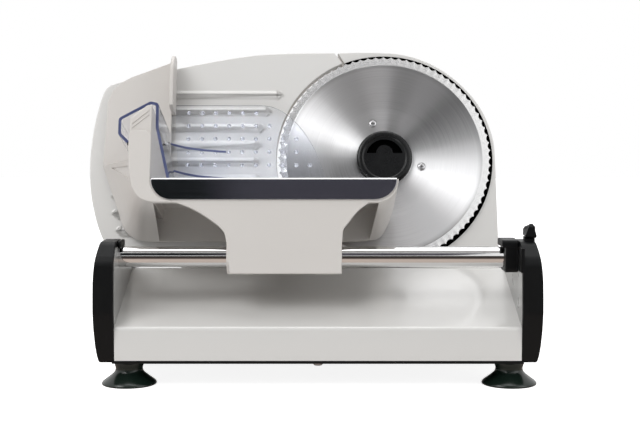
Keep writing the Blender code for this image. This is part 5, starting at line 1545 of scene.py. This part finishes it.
@dataclass
class Carriage(Assembly):
    """The moulded food carriage with its tray, its bushes' hubs and its shoe."""

    rear: float = 3.4
    front: float = 102.0
    wall: float = 2.6
    tray_top: float = -44.6
    band_low: float = -62.9
    sheet: float = 0.9
    fold: float = 2.2
    tray_round: float = 17.0
    bush: float = 11.4
    hubs: tuple[tuple[float, float], ...] = ((-73.0, -52.0), (-2.0, 19.0))
    rear_line: tuple[Point, ...] = (
        (7.7, -45.8), (4.6, -56.0), (1.5, -63.6), (-3.2, -71.6), (-9.0, -75.6), (-37.4, -77.7),
        (-196.5, -77.7), (-213.0, -77.0), (-222.0, -73.6), (-229.8, -66.1), (-236.0, -49.0),
        (-241.5, -34.0), (-250.8, -8.5), (-205.0, -8.5), (-205.0, -45.8),
    )
    front_line: tuple[Point, ...] = (
        (6.0, -45.8), (5.2, -51.0), (2.6, -57.0), (-3.0, -62.4), (-10.0, -64.8), (-37.4, -65.0),
        (-188.0, -65.0), (-195.0, -64.6), (-201.5, -62.4), (-206.0, -58.4), (-209.4, -52.0),
        (-211.4, -42.0), (-212.6, -30.0), (-205.0, -30.0), (-205.0, -45.8),
    )
    rear_hollow: tuple[Point, ...] = (
        (4.6, -48.0), (2.0, -55.4), (-1.0, -62.4), (-5.0, -69.4), (-9.8, -73.0), (-37.4, -75.0),
        (-196.5, -75.0), (-212.4, -74.3), (-220.2, -71.6), (-227.4, -64.8), (-233.2, -49.0),
        (-233.0, -48.0),
    )
    front_hollow: tuple[Point, ...] = (
        (3.0, -48.0), (2.4, -51.0), (0.2, -55.4), (-4.4, -60.0), (-10.6, -62.2), (-37.4, -62.4),
        (-188.0, -62.4), (-194.4, -62.0), (-200.0, -60.0), (-204.0, -56.8), (-206.8, -51.0),
        (-207.4, -48.0),
    )

    def across(self, name: str, places: Sequence[Point], low: float, high: float) -> Piece:
        """A profile given as (n, v), extruded along u, in the lean frame."""
        return Bench.move(Bench.slab(name, [(v, n) for n, v in places], low, high), SIDE_AXES)

    def tray_corner(
        self, radius: float, start: float, stop: float, steps: int, u: float = -177.0, stretch: float = 1.0
    ) -> list[Point]:
        """Points round a corner of the tray's front, with its middle at u and stretched along it."""
        return [(u + stretch * x, -45.9 + y) for x, y in arc(radius, start, stop, steps)]

    def shell(self) -> Piece:
        """The body's hollow shell, which narrows from its rear to its front.

        Returns:
            The solid.
        """
        front, rear = self.front, self.rear
        sharp = {0, 12, 13, 14}
        first, second = flow(self.rear_line, sharp, 3), flow(self.front_line, sharp, 3)
        body = Bench.loft("carriage_moulding", first, second, rear, front)
        Bench.soften(body, 1.0, 3, 40)
        inner_front, inner_rear = front - self.wall, rear + self.wall
        Bench.cut(body, Bench.loft("hollow", self.rear_hollow, self.front_hollow, inner_rear, inner_front))
        ledge_rear = [(-200.0, -52.0), (-234.2, -50.0), (-239.0, -34.5), (-247.0, -11.6), (-200.0, -11.6)]
        ledge_front = [(-200.0, -52.0), (-206.4, -50.0), (-208.6, -42.0), (-209.6, -33.6), (-200.0, -33.6)]
        Bench.cut(body, Bench.loft("ledge", ledge_rear, ledge_front, inner_rear + 0.1, inner_front - 0.5))
        open_rear = [(-198.0, -55.0), (-198.0, -90.0), (-14.0, -90.0), (-14.0, -55.0)]
        open_front = [(-192.0, -55.0), (-192.0, -90.0), (-10.0, -90.0), (-10.0, -55.0)]
        Bench.cut(body, Bench.loft("opening", open_rear, open_front, inner_rear + 0.2, inner_front - 0.2))
        start = [(-260.0, -18.9), (-236.4, -18.9), (-236.4, -18.4), (-260.0, -18.4)]
        stop = [(-260.0, -44.6), (-210.9, -44.6), (-212.2, -33.2), (-260.0, -33.2)]
        return Bench.cut(body, Bench.loft("recess", start, stop, 34.0, 97.0))

    def end_wall(self) -> Piece:
        """The upright end wall with its lip at the front.

        Returns:
            The solid.
        """
        corners = [
            (-211.0, -38.0), (-207.6, -49.0), (-203.4, -55.4), (-195.2, -58.0), (-195.2, 18.0),
            (-199.5, 17.0), (-212.9, 6.0), (-212.9, -30.0),
        ]
        line = rounded(corners, [0, 0, 0, 0, 1.5, 1.5, 2, 0], 5)
        end = Bench.slab("end", line, self.rear + 0.2, self.front - 2.0)
        Bench.soften(end, 0.9, 3, 40)
        inner = self.tray_corner(17.9, 270, 180, 16)
        outer = [
            (-213.1, -7.7), (-213.1, -18.0), (-212.7, -30.0), (-211.5, -42.0), (-209.5, -52.0),
            (-206.1, -58.4), (-201.6, -62.4), (-195.0, -64.7), (-188.0, -65.0),
        ]
        line = [(-177.0, -65.0), *inner, (-194.9, -8.7), (-198.9, -4.7), (-210.1, -4.7), *outer]
        lip = Bench.slab("lip", line, self.front - 3.4, self.front + 0.9)
        Bench.add(end, Bench.soften(lip, 0.8, 3, 40))
        for drop in (3.2, 7.0):
            slope = [(-211.0, 4.4 - drop), (-197.4, 15.6 - drop), (-197.4, 16.9 - drop), (-211.0, 5.7 - drop)]
            rib = Bench.soften(Bench.slab("rib", slope, self.front - 2.6, self.front - 1.2), 0.4, 2, 40)
            Bench.add(end, rib)
        return end

    def guard(self) -> Piece:
        """The hand guard behind the food, and the flange that runs up its right side.

        Returns:
            The solid.
        """
        corners = [
            (-206.0, -50.0), (-190.4, -50.0), (-190.4, 87.7), (-227.9, 73.2), (-236.5, 68.2),
            (-244.0, 61.0), (-248.0, 50.0), (-248.4, 34.0), (-250.2, -7.0), (-246.8, -14.0),
            (-206.0, -14.0),
        ]
        line = rounded(corners, [0, 0, 2, 2, 3, 3, 3, 3, 1, 0, 0], 5)
        guard = Bench.soften(Bench.slab("guard", line, self.rear + 0.1, self.rear + 3.1), 0.7, 3, 40)
        edge = [
            (self.rear + 0.3, 38.0), (self.rear + 0.3, 88.4), (9.0, 90.6), (14.4, 90.4), (19.4, 88.6),
            (24.6, 84.6), (28.6, 79.4), (30.4, 71.6), (30.0, 40.0), (26.0, 38.0),
        ]
        flange = Bench.soften(self.across("flange", edge, -190.0, -186.8), 0.7, 3, 40)
        return Bench.add(guard, flange)

    def skirt(self) -> Piece:
        """The apron in front of the rail.

        Returns:
            The solid.
        """
        corners = [
            (-175.6, -57.0), (-175.6, -64.4), (-160.0, -70.6), (-146.4, -79.0), (-135.6, -88.0),
            (-132.8, -95.4), (-129.4, -123.2), (-40.4, -123.2), (-39.2, -88.6), (-34.6, -81.6),
            (-26.4, -71.4), (-16.8, -64.4), (-16.8, -57.0),
        ]
        line = flow(corners, {0, 1, 6, 7, 11, 12}, 3)
        return Bench.soften(Bench.slab("skirt", line, self.front - 2.9, self.front + 0.1), 0.7, 3, 40)

    def build_body(self) -> None:
        """Joins the shell, its walls, the apron, the webs and the hubs into one moulding."""
        body = self.shell()
        Bench.add(body, self.end_wall(), self.guard(), self.skirt())
        inner_wall = [
            (-208.6, -38.0), (-205.0, -47.6), (-197.9, -54.0), (-197.9, 13.4), (-210.1, 3.4),
            (-210.1, -28.0),
        ]
        Bench.cut(body, Bench.slab("hollow", inner_wall, self.rear + 3.3, self.front - 4.2))
        front = self.front
        web = [(front - 1.2, -46.6), (58.0, -46.6), (74.0, -96.0), (76.4, -112.0), (front - 1.2, -116.0)]
        for low, high in self.hubs:
            left, right = low - BLADE_CENTRE[0], high - BLADE_CENTRE[0]
            for start in (left + 1, right - 5):
                Bench.add(body, self.across("web", web, start, start + 4))
        for low, high in self.hubs:
            left, right = low - BLADE_CENTRE[0], high - BLADE_CENTRE[0]
            hub = Bench.soften(Bench.rod(self.bush + 2.8, 0, high - low, steps=64), 0.8, 3)
            bore = Bench.rod(self.bush + 0.3, -3, high - low + 3, steps=64)
            place = self.layout.lean().inverted() @ self.layout.side(low, RAIL_Y, RAIL_Z)
            ahead = Bench.block("ahead", (left - 9, -160, front - 0.4), (right + 9, -40, front + 30))
            Bench.add(body, Bench.cut(Bench.move(hub, place), ahead))
            Bench.cut(body, Bench.move(bore, place))
        pad = Bench.block("pad", (-138.0, -80.0, self.rear + 0.4), (-98.0, -62.0, self.rear + 12.4))
        Bench.add(body, pad)
        self.settle(body, self.layout.lean(), WARM_PLASTIC, "carriage", "carriage")

    def build_tray(self) -> None:
        """The steel tray: a brushed deck that folds over into a polished band with a bright hem."""
        face = self.front + 0.4
        skin = face + self.sheet
        top = self.tray_top - 0.05
        bend = arc(self.fold, 90, 0, 8)
        inner = arc(self.fold - self.sheet, 0, 90, 8)
        cx, cy = skin - self.fold, top - self.fold
        over = [(cx + x, cy + y) for x, y in bend]
        under = [(cx + x, cy + y) for x, y in inner]
        start = self.rear + 3.6
        hem = [(skin, self.band_low), (face, self.band_low)]
        line = [(start, top), *over, *hem, *under, (start, top - self.sheet)]
        sheet = Bench.move(Bench.slab("tray_folded_sheet", [(v, n) for n, v in line], -193.9, 4.3), SIDE_AXES)
        left = self.tray_corner(self.tray_round, 180, 270, 20)
        right = self.tray_corner(self.tray_round, 270, 360, 20, -14.6, 1.12)
        corners = [*left, *right, (4.4, self.tray_top), (-194.0, self.tray_top)]
        Bench.keep(sheet, Bench.slab("round", corners, 0.0, 110.0))
        Bench.soften(sheet, 0.22, 2, 40)
        lean = self.layout.lean()
        sheet = self.settle(sheet, lean, TRAY_STEEL, "carriage", "food_tray", smooth=30.0)
        self.repaint(sheet, BAND_STEEL, lean, lambda p, n: p.z > face - 0.2 and p.y < top - 1.9)

    def build(self) -> None:
        """Builds the carriage and its tray."""
        self.build_body()
        self.build_tray()


@dataclass
class Pusher(Assembly):
    """The clear food pusher: a spiked face, a saddle over the end wall and two gussets."""

    floor: float = -43.8
    back: float = 8.0
    plate: float = 2.4
    front: float = 93.0
    gussets: Point = (1.4, -23.4)
    spike_corner: Point = (-174.6, 38.8)
    spike_pitch: float = 12.0
    spike_columns: int = 10
    spike_limits: tuple[float, ...] = (-104.0, -92.0, -78.0, -70.0, -62.0)

    def body(self) -> Piece:
        """The face plate, the saddle and the gussets as one clear moulding.

        Returns:
            The solid.
        """
        floor, back = self.floor, self.back
        face_corners = [
            (-180.6, floor), (-46.4, floor), (-50.0, -28.0), (-55.0, -14.0), (-61.0, 2.0), (-68.0, 15.0),
            (-76.0, 26.5), (-84.0, 34.5), (-92.0, 40.5), (-101.0, 44.4), (-110.0, 45.7), (-186.0, 45.7),
            (-186.0, 20.0), (-184.0, 0.0),
        ]
        line = flow(face_corners, {0, 1, 10, 11, 12, 13}, 4)
        body = Bench.soften(Bench.slab("clear_pusher", line, back, back + self.plate), 0.5, 2, 40)
        saddle_corners = [
            (-180.0, floor), (-182.4, floor), (-192.6, 0.0), (-193.0, 19.2), (-197.2, 20.2),
            (-221.0, 7.0), (-221.0, -4.6), (-214.2, -11.4), (-216.0, -13.2), (-223.4, -5.6),
            (-223.4, 8.4), (-197.6, 22.8), (-190.6, 21.2), (-190.2, 0.2),
        ]
        radii = [0, 0, 6, 1.5, 3, 3, 3, 0.4, 0.4, 4, 4, 4, 3, 6]
        saddle = Bench.slab("saddle", rounded(saddle_corners, radii, 5), back, self.front)
        Bench.soften(saddle, 0.4, 2, 40)
        step = [(-240.0, -20.0), (-213.2, -20.0), (-213.2, -4.0), (-240.0, -4.0)]
        Bench.cut(saddle, Bench.slab("step", step, -5.0, 40.0))
        Bench.add(body, saddle)
        places = [
            (9.0, -193.0), (9.0, -128.0), (12.4, -147.0), (16.6, -160.0), (23.0, -173.0), (31.0, -182.0),
            (39.0, -188.6),
        ]
        for shift, low in zip((0.0, 5.6), self.gussets):
            line = [(n, min(u + shift, -128.0)) for n, u in places] + [(30.0, -192.4 + shift)]
            gusset = Bench.slab("gusset", flow(line, {0, 1, 6, 7}, 3), low, low + 2.0)
            Bench.add(body, Bench.move(Bench.soften(gusset, 0.4, 2, 40), PLAN_AXES))
        rib = Bench.block("rib", (-184.0, -8.0, back + 1.8), (-62.0, -7.2, back + self.plate + 0.5))
        Bench.add(body, Bench.soften(rib, 0.2, 2, 40))
        return body

    def build_body(self) -> None:
        """Dresses the moulding, with a bluer finish on its narrow edges and on the saddle."""
        lean = self.layout.lean()
        body = self.settle(self.body(), lean, CLEAR, "pusher", "pusher", smooth=30.0)

        def blue(p: Vector, n: Vector) -> bool:
            """Whether a face is the saddle's front or a gusset's front edge."""
            ahead = n.z > 0.25 and self.back + self.plate + 0.4 < p.z < 60 and p.x > -187
            return p.z > self.front - 0.6 or (ahead and any(v < p.y < v + 2.0 for v in self.gussets))

        self.repaint(body, CLEAR_EDGE, lean, blue)

    def build_spikes(self) -> None:
        """The rows of small spikes on the face: one is modelled and the others are copies."""
        Bench.rest()
        bpy.ops.mesh.primitive_cone_add(vertices=12, radius1=2.1 * MM, radius2=0.25 * MM, depth=2.6 * MM)
        first = bpy.context.object
        first.name = "spike"
        Bench.edit(first)
        Bench.pick(first, lambda p: p.z < 0)
        bpy.ops.mesh.bevel(offset=0.2 * MM, segments=2, affect="EDGES")
        bpy.ops.object.mode_set(mode="OBJECT")
        turn = Matrix.Rotation(math.pi, 4, "X")
        spikes = []
        left, top = self.spike_corner
        for row, limit in enumerate(self.spike_limits):
            for column in range(self.spike_columns):
                u, v = left + self.spike_pitch * column, top - self.spike_pitch * row
                if u <= limit:
                    place = Matrix.Translation(Vector((u, v, self.back - 0.95)) * MM) @ turn
                    spikes.append(Bench.move(Bench.copy(first, "spike_copy"), place))
        bpy.data.objects.remove(first)
        bed = Bench.join(spikes)
        bed.name = "pusher_spikes"
        bed.data.name = "pusher_spikes"
        self.settle(bed, self.layout.lean(), SPIKE_PLASTIC, "pusher")

    def build(self) -> None:
        """Builds the pusher."""
        self.build_body()
        self.build_spikes()


CARRIED: dict[Finish, tuple[str, ...]] = {
    SCREW_ZINC: (
        "base_screw_front", "base_screw_rear", "chassis_plate", "blade_spindle", "motor_mount", "motor_can",
        "motor_pinion", "lever_pin", *(f"motor_post_{number}" for number in (1, 2, 3)),
        *(f"foot_screw_{row}_{side}" for row in ("front", "rear") for side in ("left", "right")),
    ),
    NYLON: ("blade_gear", "idler_gear", "carriage_bush_left", "carriage_bush_right", "carriage_shoe"),
    BLACK_PLASTIC: ("bottom_plate",),
}


def dress_carried(nodes: dict[str, Piece]) -> None:
    """Gives the solids that stay as they are their finishes.

    Args:
        nodes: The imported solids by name.
    """
    for finish, names in CARRIED.items():
        for name in names:
            nodes[name].data.materials.clear()
            nodes[name].data.materials.append(finish.material())
            log.info("%s keeps its solid in %s", name, finish.name)


@dataclass
class Studio:
    """The camera, the lamps, the white surroundings and the floor."""

    camera_at: tuple[float, float, float] = (0.0154, -1.1078, 0.205)
    camera_tilt: float = 86.1
    lens: float = 71.1
    sensor: float = 36.0
    ambient: float = 0.36
    floor_glow: float = 0.88
    floor_half: float = 4.0
    pale: Colour = (0.93, 0.93, 0.93)
    front_reflection_tone: Colour = (0.05, 0.036, 0.03)
    back_reflection_tone: Colour = (0.6, 0.5, 0.44)
    reflection_tone_depths: Point = (-0.46, -0.3)

    def build_camera(self) -> None:
        """The camera, fitted to the photograph."""
        data = bpy.data.cameras.new("camera")
        data.lens = self.lens
        data.sensor_width = self.sensor
        data.clip_start = 0.05
        camera = bpy.data.objects.new("camera", data)
        bpy.context.scene.collection.objects.link(camera)
        camera.location = self.camera_at
        camera.rotation_euler = (math.radians(self.camera_tilt), 0.0, 0.0)
        bpy.context.scene.camera = camera
        bpy.context.scene.view_settings.view_transform = "Standard"

    def build_world(self) -> None:
        """White for what the camera, metal and glass see, and a plainer level for lighting."""
        world = bpy.data.worlds.new("surroundings")
        world.use_nodes = True
        bpy.context.scene.world = world
        nodes = Nodes(world.node_tree)
        path = nodes.node("ShaderNodeLightPath").outputs
        seen = path["Is Camera Ray"]
        for kind in ("Is Glossy Ray", "Is Transmission Ray"):
            seen = nodes.maths("MAXIMUM", seen, path[kind])
        direct = nodes.maths("LESS_THAN", path["Diffuse Depth"], 0.5)
        level = nodes.spread(nodes.maths("MULTIPLY", seen, direct), self.ambient, 1.0, 0.0, 1.0)
        background = world.node_tree.nodes["Background"].inputs
        background["Color"].default_value = (1.0, 1.0, 1.0, 1.0)
        nodes.feed(background["Strength"], level)

    def lamp(self, name: str, at: Sequence[float], aim: Sequence[float], size: Point, power: float) -> None:
        """One soft rectangular lamp.

        Args:
            name: The lamp's name.
            at: Where it stands, in metres.
            aim: The point it faces.
            size: Its width and height in metres.
            power: Its power in watts.
        """
        data = bpy.data.lights.new(name, "AREA")
        data.shape = "RECTANGLE"
        data.size, data.size_y = size
        data.energy = power
        lamp = bpy.data.objects.new(name, data)
        bpy.context.scene.collection.objects.link(lamp)
        lamp.location = at
        lamp.rotation_euler = (Vector(aim) - Vector(at)).to_track_quat("-Z", "Y").to_euler()

    def build_floor(self) -> None:
        """A pale floor that keeps the soft shadow, with a painted reflection: metal sees it darker and warmer
        in front.
        """
        Bench.rest()
        bpy.ops.mesh.primitive_plane_add(size=2 * self.floor_half)
        floor = bpy.context.object
        floor.name = "floor"
        graph = Graph("pale_floor", self.pale, 0.0, 0.6)
        depth = graph.spread(graph.axes(graph.place)["Y"], 0.0, 1.0, *self.reflection_tone_depths)
        mirrored = graph.tint(depth, self.front_reflection_tone, self.back_reflection_tone)
        path = graph.node("ShaderNodeLightPath").outputs
        glow = graph.maths("MULTIPLY", path["Is Camera Ray"], self.floor_glow)
        # Reflections see the darker, warmer tone instead of the pale one: a painted reflection.
        graph.give({"Base Color": graph.tint(path["Is Glossy Ray"], self.pale, mirrored)})
        graph.give({"Specular IOR Level": 0.1})
        graph.give({"Emission Color": (1.0, 1.0, 1.0, 1.0), "Emission Strength": glow})
        floor.data.materials.append(graph.material)

    def flag(
        self,
        name: str,
        at: Sequence[float],
        size: Point,
        colours: tuple[Colour, Colour],
        fade: Point = (-1.0, 1.0),
    ) -> None:
        """A dark card that only polished and clear pieces see.

        Args:
            name: The card's name.
            at: Where its middle stands, in metres.
            size: Its width and height in metres.
            colours: Its two colours.
            fade: Where along its width its first colour has turned into the second one.
        """
        Bench.rest()
        bpy.ops.mesh.primitive_plane_add(size=1.0)
        card = bpy.context.object
        card.name = name
        card.scale = (*size, 1.0)
        Bench.take(card)
        bpy.ops.object.transform_apply(scale=True)
        card.location = at
        card.rotation_euler = (Vector((0.0, 0.0, 0.1)) - Vector(at)).to_track_quat("Z", "Y").to_euler()
        card.visible_camera = False
        card.visible_diffuse = False
        card.visible_shadow = False
        graph = Graph(f"{name}_cloth", colours[0], 0.0, 0.9)
        across = graph.spread(graph.axes(graph.place)["X"], 0.0, 1.0, *fade)
        drift = graph.maths("ADD", across, graph.spread(graph.noise(2.2, 1.0), -0.25, 0.25))
        graph.give({"Base Color": graph.tint(drift, *colours)})
        card.data.materials.append(graph.material)

    def build(self) -> None:
        """Sets up the studio."""
        self.build_camera()
        self.build_world()
        self.lamp("key", (-1.1, -1.2, 1.7), (0.0, 0.0, 0.12), (1.2, 1.2), 21.0)
        self.lamp("fill", (1.6, -1.0, 1.0), (0.05, 0.0, 0.12), (1.0, 1.4), 6.0)
        self.lamp("top", (0.1, 0.3, 2.0), (0.0, 0.0, 0.1), (1.6, 1.6), 16.0)
        self.build_floor()
        dusk, night, grey = (0.14, 0.13, 0.155), (0.008, 0.012, 0.012), (0.2, 0.18, 0.16)
        self.flag("front_flag", (-0.35, -2.4, 1.6), (1.7, 1.5), (dusk, night), (-0.14, 0.0))
        self.flag("top_flag", (0.0, -0.9, 1.6), (1.6, 0.5), (grey, grey))
        self.flag("low_flag", (0.0, -2.4, 0.25), (3.4, 0.8), ((0.05, 0.04, 0.035), (0.03, 0.024, 0.02)))


def main() -> None:
    """Builds every sub-assembly in order."""
    logging.basicConfig(level=logging.INFO, format="%(name)s: %(message)s")
    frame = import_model()
    layout = Layout.from_rail()
    log.info("origin at %s", tuple(layout.origin))
    for kind in (Base, BladeSet, Housing, ThicknessGuide, Carriage, Pusher):
        log.info("building %s", kind.__name__)
        kind(layout).build()
    dress_carried(frame["nodes"])
    Studio().build()


if __name__ == "__main__":
    main()
